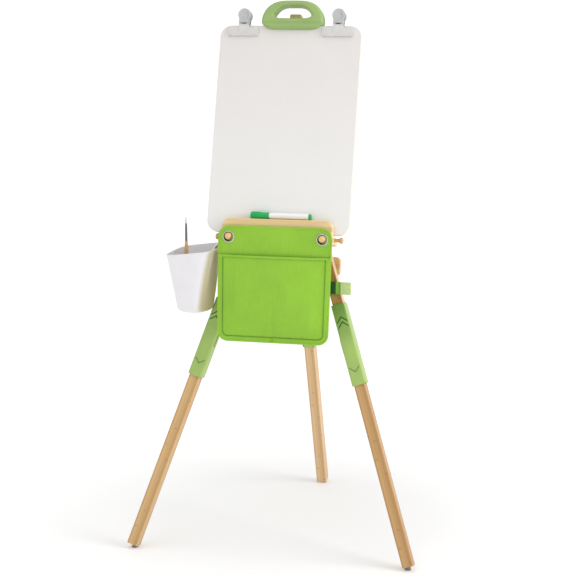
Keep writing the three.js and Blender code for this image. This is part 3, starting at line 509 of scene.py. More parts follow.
# turned about z; corners of the (radius, height) profile are rounded where fillet is over 0
def lathe(name, profile, fillet=0.0, sides=40, closed=False):
    points = [Vector(p) for p in profile]
    line = []
    for i, p in enumerate(points):
        inner = closed or 0 < i < len(points) - 1
        if not inner or fillet == 0:
            line.append(p)
            continue
        before = points[i - 1] - p
        after = points[(i + 1) % len(points)] - p
        reach = min(fillet, before.length * 0.45, after.length * 0.45)
        a = p + before.normalized() * reach
        b = p + after.normalized() * reach
        for t in (0, 0.33, 0.67, 1):
            line.append(a * (1 - t) ** 2 + p * 2 * t * (1 - t) + b * t ** 2)
    verts, rings = [], []
    for radius, height in line:
        count = 1 if radius < 1e-7 else sides
        rings.append(range(len(verts), len(verts) + count))
        verts += [(radius * math.cos(TURN * i / sides), radius * math.sin(TURN * i / sides), height) for i in range(count)]
    faces = []
    for a, b in zip(rings, rings[1:] + (rings[:1] if closed else [])):
        for i in range(sides):
            j = (i + 1) % sides
            quad = [a[i % len(a)], a[j % len(a)], b[j % len(b)], b[i % len(b)]]
            quad = list(dict.fromkeys(quad))
            if len(quad) > 2:
                faces.append(quad)
    return new_object(name, verts, faces)


# rings of equal length joined into a skin; ends are capped, or closed on the first ring
def skin(name, rings, closed=False):
    n = len(rings[0])
    verts = [v for ring in rings for v in ring]
    faces = []
    count = len(rings)
    for r in range(count if closed else count - 1):
        a, b = r * n, (r + 1) % count * n
        faces += [(a + i, a + (i + 1) % n, b + (i + 1) % n, b + i) for i in range(n)]
    if not closed:
        faces += [list(range(n))[::-1], list(range((count - 1) * n, count * n))]
    return new_object(name, verts, faces)


# a round wire through points
def wire(name, path, radius, sides=8, closed=False):
    rings = []
    count = len(path)
    up = Vector((0.13, 0.21, 0.97))
    for i, p in enumerate(path):
        p = Vector(p)
        before = Vector(path[i - 1]) if i or closed else p
        after = Vector(path[(i + 1) % count]) if i < count - 1 or closed else p
        t = (after - before).normalized()
        u = t.cross(up).normalized()
        w = t.cross(u)
        up = -w if abs(t.dot(up)) > 0.8 else up
        rings.append([p + (u * math.cos(TURN * k / sides) + w * math.sin(TURN * k / sides)) * radius for k in range(sides)])
    return skin(name, rings, closed)


# a CAD piece's own shape with its edges rounded
def refined(node, matrix, paint, edge, along="Z", segments=3):
    mesh = frame["nodes"][node].data.copy()
    mesh.materials.clear()
    mesh.transform(matrix.inverted())
    obj = bpy.data.objects.new("detail_" + node, mesh)
    scene.collection.objects.link(obj)
    bm = bmesh.new()
    bm.from_mesh(mesh)
    bmesh.ops.remove_doubles(bm, verts=bm.verts, dist=1e-6)
    bmesh.ops.dissolve_limit(bm, angle_limit=math.radians(1), verts=bm.verts, edges=bm.edges)
    bm.to_mesh(mesh)
    bm.free()
    soften(obj, edge, segments)
    return settle(obj, matrix, node, paint, along=along)


# ---------------------------------------------------------------- legs, sleeves, buttons and feet
BORE = Vector((0.0124, 0.0134))
WALL = 0.003


def chevron(z, rise, half=0.0112, stroke=0.0021, direction=1):
    outline = [(-half, z), (0, z + rise * direction), (half, z), (half, z - stroke * direction * 1.5)]
    outline += [(0, z + (rise - stroke * 1.6) * direction), (-half, z - stroke * direction * 1.5)]
    return outline


def build_sleeve(name):
    node = f"sleeve_{name}"
    low, high = span(node, LEG[name])
    tongue = 0.0078

    def ring(offset, top, back):
        hx, hy = BORE.x + offset, BORE.y + offset
        outline = rounded(-hx, hx, -hy, hy, 0.0022 + offset * 0.85, steps=7)
        points = []
        for x, y in outline:
            m = min(abs(x) / hx, abs(y) / hy)
            drop = tongue * (1 - math.sqrt(max(0.0, 1 - max(0.0, (m - 0.22) / 0.79) ** 2)))
            z = high.z - drop - back if top else low.z + drop + back
            points.append((x, y, z))
        return points

    lip = 0.0006
    rings = [ring(0, False, lip), ring(lip, False, 0), ring(WALL - 2 * lip, False, 0), ring(WALL - lip / 2, False, lip / 2)]
    rings += [ring(WALL, False, 2 * lip), ring(WALL, True, 2 * lip), ring(WALL - lip / 2, True, lip / 2)]
    rings += [ring(WALL - 2 * lip, True, 0), ring(lip, True, 0), ring(0, True, lip)]
    obj = skin("detail_" + node, rings, closed=True)
    face = BORE.y + WALL
    outlines = [chevron(high.z - z, 0.0115) for z in (0.0505, 0.0395)]
    outlines.append(chevron(low.z + 0.040, 0.0105, stroke=0.0011, direction=-1))
    sides = (1,) if name == "rear" else (-1,)
    cutters = [
        prism("cut", outline, side * (face - 0.0007), side * (face + 0.002)) for outline in outlines for side in sides
    ]
    slot_low, slot_high = span(f"lock_button_{name}", LEG[name])
    clear = 0.0005
    slot = rounded(slot_low.y - clear, slot_high.y + clear, slot_low.z - clear, slot_high.z + clear, 0.0049)
    inner = 1 if slot_high.x > 0 else -1
    cutters.append(prism("cut", slot, inner * 0.0110, inner * 0.0200, "X"))
    carve(obj, *cutters)
    # the right sleeve takes the green with painted shade at its top
    green = GREEN_SHADED if name == "right" else GREEN
    obj.data.materials.append(green)
    obj.data.materials.append(GROOVE_SHADE_GREEN)
    # painted shade: faces inside the chevron grooves get the dark green
    for face_data in obj.data.polygons:
        depth = face - abs(face_data.center.y)
        if 0.00005 < depth < 0.0009 and abs(face_data.center.x) < 0.0120 and abs(face_data.center.z - low.z) < 0.15:
            if low.z + 0.02 < face_data.center.z < high.z - 0.02:
                face_data.material_index = 1
    settle(obj, LEG[name], node, green, GROOVE_SHADE_GREEN, smooth=30)


def build_button(name):
    node = f"lock_button_{name}"
    low, high = span(node, LEG[name])
    body = prism("detail_" + node, rounded(low.y, high.y, low.z, high.z, 0.0043), low.x, high.x, "X")
    soften(body, 0.0007)
    outer = high.x if high.x > 0 else low.x
    ribs = []
    for i in range(5):
        z = (low.z + high.z) / 2 + (i - 2) * 0.0034
        rib = rounded(low.y + 0.0016, high.y - 0.0016, z - 0.0006, z + 0.0006, 0.0005, steps=3)
        ribs.append(prism("rib", rib, outer - 0.0004, outer + math.copysign(0.0004, outer), "X"))
    settle(join("detail_" + node, [body, *ribs]), LEG[name], node, GREEN)


def build_leg(name):
    matrix = LEG[name]
    for node in (f"upper_leg_{name}", f"lower_leg_{name}"):
        low, high = span(node, matrix)
        if node == "upper_leg_rear":
            half = high.y
            centre = high.z - half
            outline = [(-half, low.z), (half, low.z)] + arc(0, centre, half, 0, 180, 24)
            stick = prism("detail_" + node, outline, low.x, high.x, "X")
            soften(stick, 0.0022)
            carve(stick, rod("hole", 0.0034, -0.03, 0.03, (0, centre), "X"))
        else:
            section = rounded(low.x, high.x, low.y, high.y, 0.0026, steps=4)
            stick = prism("detail_" + node, section, low.z, high.z, "Z")
            soften(stick, 0.0008, 2, 60)
        # each leg takes its own copy of the bamboo; the darker left and right copies are painted shade
        wood = {"left": BAMBOO_LEFT, "right": BAMBOO_RIGHT, "rear": BAMBOO}[name]
        # the upper right leg takes the bamboo with painted shade on its front and a painted highlight on its right face
        settle(stick, matrix, node, BAMBOO_SHADE_AND_HIGHLIGHT if node == "upper_leg_right" else wood)
    refined(f"foot_pad_{name}", matrix, GLIDE, 0.0008)
    build_sleeve(name)
    build_button(name)


for leg in LEG:
    build_leg(leg)


# ---------------------------------------------------------------- hub, rail, strut, screws and pins
def screw_head(node, direction, cross=True):
    base, length = axis_of(node, direction)
    low, high = span(node, aim(base, direction))
    head = high.x
    dome = head * 0.38
    profile = [(0, 0), (head * 0.45, dome * 0.08), (head * 0.85, dome * 0.5), (head, dome), (head, dome + 0.0008)]
    profile += [(head * 0.5, dome + 0.0008 + head * 0.5), (head * 0.45, length), (0, length)]
    obj = lathe("detail_" + node, profile, 0.0003, 32)
    if cross:
        arm, wide = head * 0.55, head * 0.14
        for a, b in ((arm, wide), (wide, arm)):
            carve(obj, prism("cut", rounded(-a, a, -b, b, wide * 0.4, steps=2), -0.001, dome * 0.9 + 0.0006, "Z"))
    settle(obj, aim(base, direction), node, STEEL, smooth=30)


def build_hub():
    refined("hub_block", BOARD, GREEN, 0.0012)
    base, length = axis_of("hinge_pin", RIGHT)
    radius = 0.003
    profile = [(0, 0), (0.004, 0), (0.006, 0.0015), (0.006, 0.0036), (radius, 0.0036)]
    profile += [(radius, length - 0.0006), (radius * 0.8, length), (0, length)]
    settle(lathe("detail_hinge_pin", profile, 0.0004, 32), aim(base, RIGHT), "hinge_pin", STEEL)
    backward = BOARD.to_3x3() @ Vector((0, 1, 0))
    screw_head("hub_bolt", backward)
    forward = A_FRAME.to_3x3() @ Vector((0, -1, 0))
    for side in ("left", "right"):
        screw_head(f"rail_screw_{side}", forward)
        screw_head(f"handle_screw_{side}", -backward)

    low, high = span("cross_rail", A_FRAME)
    rail = prism("detail_cross_rail", rounded(low.x, high.x, low.z, high.z, 0.009, steps=12), low.y, high.y)
    soften(rail, 0.0028, 4, 30)
    for node in ("rail_screw_left", "rail_screw_right"):
        a, b = span(node, A_FRAME)
        centre = ((a.x + b.x) / 2, (a.z + b.z) / 2)
        carve(rail, rod("hole", (b.x - a.x) / 2 + 0.0003, low.y - 0.01, high.y + 0.01, centre))
    settle(rail, A_FRAME, "cross_rail", BAMBOO_LEFT, along="X")
    refined("lower_strut", A_FRAME, BAMBOO, 0.0012, along="Y")


build_hub()


# ---------------------------------------------------------------- board, battens and spine
def build_board():
    low, high = span("whiteboard_sheet", BOARD)
    corner = 0.024
    sheet = prism("detail_whiteboard_sheet", rounded(low.x, high.x, low.z, high.z, corner, steps=16), low.y, high.y)
    settle(soften(sheet, 0.0006, 2, 30), BOARD, "whiteboard_sheet", ENAMEL)
    low, high = span("board_core", BOARD)
    core = prism("detail_board_core", rounded(low.x, high.x, low.z, high.z, corner, steps=16), low.y, high.y)
    settle(soften(core, 0.0022, 3, 30), BOARD, "board_core", BAMBOO_PALE)
    for node in ("upper_batten", "lower_batten"):
        low, high = span(node, BOARD)
        batten = prism("detail_" + node, rounded(low.x, high.x, low.z, high.z, 0.010, steps=8), low.y, high.y)
        settle(soften(batten, 0.0018, 3, 30), BOARD, node, BAMBOO, along="X")
    low, high = span("spine", LEDGE)
    spine = prism("detail_spine", rounded(low.x, high.x, low.z, high.z, 0.003, steps=4), low.y, high.y)
    soften(spine, 0.0022, 3, 30)
    a, b = span("hub_bolt", LEDGE)
    bolt = ((a.x + b.x) / 2, (a.z + b.z) / 2)
    carve(spine, rod("hole", 0.0062, low.y - 0.005, low.y + 0.0075, bolt), rod("hole", 0.0029, low.y, high.y + 0.01, bolt))
    settle(spine, LEDGE, "spine", BAMBOO_TRAY)


build_board()


# ---------------------------------------------------------------- carry handle
def bezier(a, b, c, d, steps=14):
    points = []
    for i in range(1, steps + 1):
        t = i / steps
        s = 1 - t
        points.append(tuple(a[k] * s ** 3 + 3 * b[k] * s * s * t + 3 * c[k] * s * t * t + d[k] * t ** 3 for k in (0, 1)))
    return points


# where a ray from a point at an angle leaves an outline
def leaves(outline, centre, angle):
    dx, dz = math.cos(angle), math.sin(angle)
    best = 0
    for (ax, az), (bx, bz) in zip(outline, outline[1:] + outline[:1]):
        ex, ez = bx - ax, bz - az
        det = dx * -ez + ex * dz
        if abs(det) < 1e-12:
            continue
        t = ((ax - centre[0]) * -ez + ex * (az - centre[1])) / det
        s = (dx * (az - centre[1]) - dz * (ax - centre[0])) / det
        if t > 0 and -1e-9 <= s <= 1 + 1e-9:
            best = max(best, t)
    return Vector((centre[0] + dx * best, centre[1] + dz * best))


def mirrored(right):
    return right + [(-u, v) for u, v in reversed(right) if abs(u) > 1e-9]


def build_handle():
    low, high = span("carry_handle", LEDGE)
    half, top, lip = high.x, high.z, low.z
    board_top = top - 0.0525
    foot = board_top + 0.008
    # the outline falls from each foot into the lip over the board's front
    right = [(0, lip)] + [(0.0625 * i / 14, lip + (board_top - lip) * (i / 14) ** 8) for i in range(1, 15)]
    right += bezier(right[-1], (0.0655, board_top + 0.001), (half, board_top + 0.003), (half, foot), 8)
    right += bezier((half, foot), (half, top - 0.020), (half - 0.018, top), (0.018, top)) + [(0, top)]
    outer = mirrored(right)
    g, floor_z, roof = 0.042, top - 0.0375, top - 0.011
    knee = floor_z + 0.005
    right = [(0, floor_z), (0.024, floor_z)]
    right += bezier((0.024, floor_z), (g - 0.004, floor_z), (g + 0.001, knee), (g - 0.005, knee + 0.006), 10)
    right += bezier((g - 0.005, knee + 0.006), (g - 0.014, roof - 0.002), (0.020, roof), (0, roof))
    inner = mirrored(right)
    centre = (0, (floor_z + roof) / 2)
    front, back = low.y, high.y
    rings = []
    for step in range(168):
        angle = TURN * step / 168
        o = leaves(outer, centre, angle)
        i = leaves(inner, centre, angle)
        width = (o - i).length
        out = (o - i).normalized()
        ring = []
        for u, y in rounded(0, width, front, back, min(0.0078, width * 0.46), steps=6):
            point = i + out * u
            ring.append((point.x, y, point.y))
        rings.append(ring)
    grip = skin("grip", rings, closed=True)
    # the slot the board stands in, the groove over the lip and the screw holes
    slot = prism("cut", [(-0.2, lip - 0.02), (0.2, lip - 0.02), (0.2, board_top), (-0.2, board_top)], -0.0003, 0.0133)
    groove = rod("cut", 0.0060, -0.2, 0.2, (front - 0.0042, board_top + 0.0025), "X")
    cutters = [slot, groove]
    for node in ("handle_screw_left", "handle_screw_right"):
        a, b = span(node, LEDGE)
        cutters.append(rod("hole", 0.0048, back - 0.003, back + 0.01, ((a.x + b.x) / 2, (a.z + b.z) / 2)))
    carve(grip, *cutters)
    settle(grip, LEDGE, "carry_handle", HANDLE_SHADED_GREEN, smooth=50)


build_handle()


# ---------------------------------------------------------------- clips
def build_clip(side):
    for part in ("front", "back"):
        node = f"clip_{part}_jaw_{side}"
        low, high = span(node, BOARD)
        x = (low.x + high.x) / 2
        tab, tab_r, neck = high.z - 0.0138, 0.0138, 0.0110
        meet = math.degrees(math.asin(-math.sqrt(tab_r ** 2 - neck ** 2) / tab_r))
        jaw_half, jaw_top = (high.x - low.x) / 2, low.z + 0.020
        right = arc(jaw_half - 0.003, low.z + 0.003, 0.003, 270, 360, 5)
        right += arc(jaw_half - 0.005, jaw_top - 0.005, 0.005, 0, 90, 6)
        right += [(neck + 0.003 - 0.003 * math.sin(a), jaw_top + 0.003 - 0.003 * math.cos(a)) for a in (0.0, 0.5, 1.05, 1.57)]
        right += arc(0, tab, tab_r, meet, 90, 18)
        y0, y1 = (-0.0043, -0.0003) if part == "front" else (0.0133, 0.0173)
        plate = soften(prism("plate", mirrored(right), y0, y1), 0.0011, 3, 30)
        sign = -1 if part == "front" else 1
        face = y0 if sign < 0 else y1
        pivot_y, pivot_z = 0.0065, low.z + 0.0305
        # a dished finger pad, a groove across the neck's foot and a window onto the spring
        dish = rod("cut", 0.0094, face - 0.0005, face + 0.0005, (0, tab + 0.0005))
        groove = prism("cut", rounded(-0.03, 0.03, pivot_z - 0.0043, pivot_z - 0.0021, 0.0009, steps=3), face - 0.0009, face + 0.0009)
        cutters = [dish, groove]
        if part == "front":
            window = rounded(-0.0056, 0.0056, pivot_z - 0.0046, pivot_z - 0.0016, 0.0012, steps=3)
            cutters.append(prism("cut", window, y0 - 0.001, y1 + 0.001))
        carve(plate, *cutters)
        extras = []
        edge = rounded(-jaw_half + 0.0015, jaw_half - 0.0015, low.z + 0.0003, low.z + 0.0024, 0.0010, steps=4)
        extras.append(soften(prism("edge", edge, face - sign * 0.0006, face + sign * 0.0007), 0.0003, 2, 30))
        near = y1 if sign < 0 else y0
        inner, outer = (0.0078, 0.0108) if part == "front" else (0.0044, 0.0074)
        for a, b in ((-outer, -inner), (inner, outer)):
            reach = near + sign * 0.0012
            turn = (-90, 90) if sign < 0 else (90, 270)
            outline = arc(pivot_y, pivot_z, 0.004, *turn, 12)
            outline += [(reach, pivot_z - sign * 0.004), (reach, pivot_z + sign * 0.004)]
            arm = soften(prism("arm", outline, a, b, "X"), 0.0005, 2, 50)
            extras.append(carve(arm, rod("hole", 0.0018, a - 0.01, b + 0.01, (pivot_y, pivot_z), "X", 24)))
        settle(join("detail_" + node, [plate, *extras]), BOARD @ Matrix.Translation((x, 0, 0)), node, CLIP)

    base, length = axis_of(f"clip_pin_{side}", RIGHT)
    profile = [(0, 0), (0.0016, 0), (0.0016, length), (0, length)]
    pin = lathe(f"detail_clip_pin_{side}", profile, 0.0004, 24)
    settle(pin, aim(base, RIGHT), f"clip_pin_{side}", DARK_STEEL)

    low, high = span(f"clip_spring_{side}", BOARD)
    centre = (low + high) / 2
    radius, turns, gauge = 0.0027, 8, 0.00062
    path = []
    for i in range(turns * 14 + 1):
        a = TURN * i / 14
        path.append((low.x + 0.0009 + (high.x - low.x - 0.0018) * i / (turns * 14), centre.y + radius * math.cos(a), centre.z + radius * math.sin(a)))
    path.insert(0, (path[0][0], 0.0118, centre.z + 0.0125))
    path.append((path[-1][0], 0.0120, centre.z + 0.0125))
    coil = wire(f"detail_clip_spring_{side}", path, gauge)
    settle(coil, BOARD, f"clip_spring_{side}", DARK_STEEL)


for clip_side in ("left", "right"):
    build_clip(clip_side)


# ---------------------------------------------------------------- marker ledge and pegs
def build_ledge():
    low, high = span("tray_panel", LEDGE)
    panel = prism("detail_tray_panel", rounded(low.x, high.x, low.z, high.z, 0.016, steps=14), low.y, high.y)
    soften(panel, 0.0034, 4, 30)
    for side in ("left", "right"):
        a, b = span(f"pouch_peg_{side}", LEDGE)
        carve(panel, rod("hole", 0.0040, low.y - 0.001, low.y + 0.0083, ((a.x + b.x) / 2, (a.z + b.z) / 2)))
    settle(panel, LEDGE, "tray_panel", BAMBOO_TRAY, along="X")
    refined("tray_shelf", LEDGE, BAMBOO_TRAY, 0.0012, along="X")
    for side, outward in (("left", -RIGHT), ("right", RIGHT)):
        for node, direction, reach in ((f"pouch_peg_{side}", FORWARD, 0.013), (f"side_peg_{side}", outward, 0.0114)):
            base, length = axis_of(node, direction)
            shank, head, neck = 0.0037, 0.0066, length - 0.0075
            profile = [(0, 0), (shank - 0.0004, 0), (shank, 0.0008), (shank, neck - 0.001), (shank + 0.0006, neck)]
            profile += [(head - 0.0010, neck + 0.0001), (head, neck + 0.0014), (head, length - 0.0034)]
            profile += [(head * 0.80, length - 0.0010), (head * 0.42, length - 0.0002), (0, length)]
            peg = lathe("detail_" + node, profile, 0.0007, 36)
            # painted shade: the side pegs take the darker brush wood
            settle(peg, aim(base, direction), node, PEG_WOOD if "pouch" in node else BRUSH_WOOD, smooth=50)


build_ledge()


# ---------------------------------------------------------------- pouch
# half width of a rounded panel at a height
def half_at(z, low, high, half, low_r, high_r):
    for edge, radius in ((z - low, low_r), (high - z, high_r)):
        if edge < radius:
            return half - radius + math.sqrt(max(0.0, radius ** 2 - (radius - edge) ** 2))
    return half


def heights(low, high, low_r, high_r, count):
    ends = [low + low_r * (1 - math.cos(math.pi / 2 * i / 9)) for i in range(9)]
    tops = [high - high_r * (1 - math.cos(math.pi / 2 * i / 9)) for i in range(8, -1, -1)]
    middle = [low + low_r + (high - low - low_r - high_r) * i / count for i in range(count + 1)]
    return ends + middle + tops


# a sheet of cloth over a rounded panel; wave gives its y at a place, inwards towards +y
def cloth(name, low, high, half, low_r, high_r, thickness, wave, columns=64, rows=60):
    us = [math.sin(math.pi / 2 * (2 * i / columns - 1)) * 0.35 + (2 * i / columns - 1) * 0.65 for i in range(columns + 1)]
    verts, faces = [], []
    for z in heights(low, high, low_r, high_r, rows):
        w = half_at(z, low, high, half, low_r, high_r)
        verts += [(u * w, wave(u * w, z), z) for u in us]
    width = columns + 1
    for r in range(len(verts) // width - 1):
        faces += [(r * width + i, r * width + i + 1, (r + 1) * width + i + 1, (r + 1) * width + i) for i in range(columns)]
    obj = new_object(name, verts, faces)
    solid = obj.modifiers.new("thickness", "SOLIDIFY")
    solid.thickness = thickness
    solid.offset = 0
    return apply_all(obj)


# thread through points in pairs: each stitch is a short arched bead
def stitches(name, path, lift, pitch=0.0034, length=0.0025, radius=0.00042):
    beads = []
    carry = 0.0
    for a, b in zip(path, path[1:]):
        a, b = Vector(a), Vector(b)
        run = (b - a).length
        along = (b - a) / run
        at = -carry
        while at + pitch <= run:
            at = max(at, 0.0)
            start = a + along * at
            points = [start + along * length * t + Vector(lift) * math.sin(math.pi * t) for t in (0, 0.25, 0.5, 0.75, 1)]
            beads.append(wire("bead", points, radius, 6))
            at += pitch
        carry = max(0.0, run - at)
    return join(name, beads)


def build_pouch():
    low, high = span("pouch_back", WORLD)
    x0 = (low.x + high.x) / 2
    half = (high.x - low.x) / 2
    place = Matrix.Translation((x0, 0, 0))
    pocket_low, pocket_high = span("pouch_pocket", WORLD)
    bottom, top = low.z, high.z
    hem = pocket_high.z
    peg = (span("grommet_right", WORLD)[0] + span("grommet_right", WORLD)[1]) / 2
    peg_x = peg.x - x0
    low_r, high_r = 0.022, 0.024

    def edge_distance(x, z):
        w = half_at(z, bottom, top, half, low_r, high_r)
        return min(w - abs(x), z - bottom, top - z)

    def taper(obj):
        for v in obj.data.vertices:
            t = max(0.0, top - v.co.z) / (top - bottom)
            v.co.x = v.co.x * (1 - 0.02 * t) - 0.0058 * t
        return obj

    def ripple(x, z, size=0.0011):
        return size * (noise.noise(Vector((x * 13 + 5, z * 9, 1.7))) + 0.5 * noise.noise(Vector((x * 31, z * 22, 4.1))))

    # the back hangs from its two grommets: it bellies forward a little between them and below
    def back_wave(x, z):
        free = max(0.0, edge_distance(x, z)) / 0.05
        belly = 0.0008 * min(1.0, free)
        return 0.5 * (low.y + high.y) - belly + ripple(x, z, 0.0007)

    back = cloth("cloth", bottom + 0.0004, top, half - 0.0004, low_r, high_r, 0.0016, back_wave)
    holes = [rod("hole", 0.0089, low.y - 0.02, high.y + 0.02, (side * peg_x, peg.z)) for side in (-1, 1)]
    carve(back, *holes)

    # bound edge: a folded strip round the whole outline, stitched along its inner side
    def outline(inset, steps=10):
        return rounded(-half + inset, half - inset, bottom + inset, top - inset, low_r - inset, high_r - inset, steps)

    def strip(inset_out, inset_in, y_of, thickness):
        section = [(0, 0), (0.3, -1), (0.75, -1), (1, -0.2), (1, 0.6), (0.3, 0.9)]
        rings = []
        for (ax, az), (bx, bz) in zip(outline(inset_out), outline(inset_in)):
            ring = []
            for t, h in section:
                x, z = ax + (bx - ax) * t, az + (bz - az) * t
                ring.append((x, y_of(x, z) + h * thickness, z))
            rings.append(ring)
        return skin("strip", rings, closed=True)

    def pocket_wave(x, z):
        u = x / half
        t = (z - bottom) / (hem - bottom)
        free = min(1.0, max(0.0, edge_distance(x, z) - 0.006) / 0.035)
        belly = free * (0.0036 + 0.0034 * math.sin(math.pi * min(1, max(0, t)) ** 0.8))
        belly *= 1 - 0.45 * abs(u) ** 2
        crease = 0.0012 * math.exp(-((x - 0.0015 * math.sin(z * 60)) / 0.0035) ** 2)
        crease *= min(1, max(0, (0.55 - t) / 0.2)) * min(1, max(0, t / 0.08))
        slump = 0.0013 * math.sin(26 * u + 3 * t) * math.exp(-((t - 0.06) / 0.10) ** 2)
        diagonal = 0.0009 * math.sin((x * 0.8 + z) * 62) * free * (0.35 + 0.65 * abs(u)) * math.exp(-((t - 0.45) / 0.35) ** 2)
        return low.y - 0.0024 - belly + crease + (slump + diagonal) * free + ripple(x, z, 0.0012) * free

    pocket = cloth("cloth", bottom + 0.0004, hem, half - 0.0006, low_r, 0.0012, 0.0013, pocket_wave, 80, 84)
    # the pocket's hem: a doubled band along its mouth
    band_low = hem - 0.0060
    xs = [-half + 0.0012 + (2 * half - 0.0024) * i / 80 for i in range(81)]
    rings = []
    for x in xs:
        section = [(band_low, -0.0007), (band_low + 0.0006, -0.0015), (hem - 0.0004, -0.0017), (hem + 0.0007, -0.0009)]
        section += [(hem + 0.0007, 0.0003), (hem - 0.0008, 0.0006)]
        rings.append([(x, pocket_wave(x, min(z, hem)) + dy, z) for z, dy in section])
    band = skin("band", rings)
    band_stitch = [(x, pocket_wave(x, band_low + 0.0016) - 0.0018, band_low + 0.0016) for x in xs[3:-3]]

    def front_of(x, z):
        return pocket_wave(x, z) - 0.0009 if z <= hem + 0.0005 else back_wave(x, z) - 0.0009

    # a rolled edge round the back, and a seam of dark thread down both sides and along the pocket's bottom, laid over a
    # dark cord that is painted shade of the seam's fold
    trim = strip(-0.0006, 0.0030, front_of, 0.0006)
    seam = [p for p in outline(0.0112, 14) if p[1] < hem - 0.004]
    turn = max(range(1, len(seam)), key=lambda i: abs(seam[i][0] - seam[i - 1][0]) + abs(seam[i][1] - seam[i - 1][1]))
    start = next((i for i in range(1, len(seam)) if seam[i][0] < 0 < seam[i - 1][0] and seam[i][1] > hem - 0.03), None)
    seam = seam[start:] + seam[:start] if start else seam
    ends = [(-half + 0.0112, hem - 0.003)], [(half - 0.0112, hem - 0.003)]
    seam = [p for p in seam if p[1] < hem - 0.02]
    seam = ends[0] + seam + ends[1]
    fine = []
    for (ax, az), (bx, bz) in zip(seam, seam[1:]):
        pieces = max(1, int(math.hypot(bx - ax, bz - az) / 0.006))
        fine += [(ax + (bx - ax) * k / pieces, az + (bz - az) * k / pieces) for k in range(pieces)]
    fine.append(seam[-1])
    path = [(x, front_of(x, z) - 0.0006, z) for x, z in fine]
    lift = (0, -0.0004, 0)
    # painted shadow: a dark cord under the stitches stands in for the shade of the seam's fold
    seam_shadow_cord = wire("seam_shadow_cord", path, 0.00062, 6)
    thread = stitches("thread", path, lift, 0.0036, 0.0029, 0.00060)
    hem_thread = stitches("thread", band_stitch, lift, 0.0036, 0.0028, 0.00048)
    middle = [(0.0, pocket_wave(0, bottom + z) - 0.0012, bottom + z) for z in (0.002, 0.006, 0.0105)]
    tick = stitches("thread", middle, lift)

    front = settle(taper(join("detail_pouch_pocket", [pocket, band])), place, "pouch_pocket", CANVAS, smooth=60)
    edging = taper(join("detail_pouch_edge", [trim]))
    back.name = "detail_pouch_back"
    settle(taper(back), place, "pouch_back", CANVAS, smooth=60)
    settle(edging, place, "pouch_back", CANVAS, smooth=60)
    sewn = taper(join("detail_pouch_thread", [seam_shadow_cord, thread, hem_thread, tick]))
    settle(sewn, place, "pouch_pocket", THREAD, smooth=60)

    for side in ("left", "right"):
        node = f"grommet_{side}"
        base, length = axis_of(node, Vector((0, 1, 0)))
        a, b, edge = 0.0081, 0.0128, 0.0104
        profile = [(a, 0.0040), (edge - 0.0008, 0.0010), (edge, 0), (b - 0.0010, 0.0001), (b, 0.0008), (b - 0.0002, 0.0013)]
        profile += [(a + 0.0018, 0.0013 + 0.0022), (a + 0.0018, length - 0.0010), (b, length - 0.0010)]
        profile += [(b - 0.0004, length - 0.0001), (a + 0.0006, length), (a, length - 0.0007)]
        ring = lathe("detail_" + node, profile, 0.0003, 48, closed=True)
        # painted shade: the eyelet's throat faces take the near-black metal
        throat = [f.index for f in ring.data.polygons if math.hypot(f.center.x, f.center.y) < edge - 0.0003]
        for i in throat:
            ring.data.polygons[i].material_index = 1
        settle(ring, aim(base, (0, 1, 0)), node, EYELET, THROAT_SHADE, smooth=50)


build_pouch()


# ---------------------------------------------------------------- side strap
def ribbon(name, path, z0, z1, thickness, wave=0.0):
    rings = []
    for i, p in enumerate(path):
        before = Vector(path[max(0, i - 1)])
        after = Vector(path[min(len(path) - 1, i + 1)])
        t = (after - before).normalized()
        nrm = Vector((-t.y, t.x)) * thickness / 2
        h = wave * math.sin(i * 0.9)
        ring = []
        for s, e in ((1, 0), (1, 1), (-1, 1), (-1, 0)):
            z = z0 + h if e == 0 else z1 + h
            soft = 0.0006 if e == 0 else -0.0006
            ring.append((p[0] + nrm.x * s, p[1] + nrm.y * s, z + (soft if s > 0 else 0)))
        rings.append(ring)
    return skin(name, rings)


# a bent line with its corners rounded
def filleted(points, radius, steps=6):
    path = [Vector(points[0])]
    for a, p, b in zip(points, points[1:], points[2:]):
        a, p, b = Vector(a), Vector(p), Vector(b)
        start = p + (a - p).normalized() * min(radius, (a - p).length * 0.48)
        end = p + (b - p).normalized() * min(radius, (b - p).length * 0.48)
        path += [start * (1 - t) ** 2 + p * 2 * t * (1 - t) + end * t ** 2 for t in [k / steps for k in range(steps + 1)]]
    return path + [Vector(points[-1])]


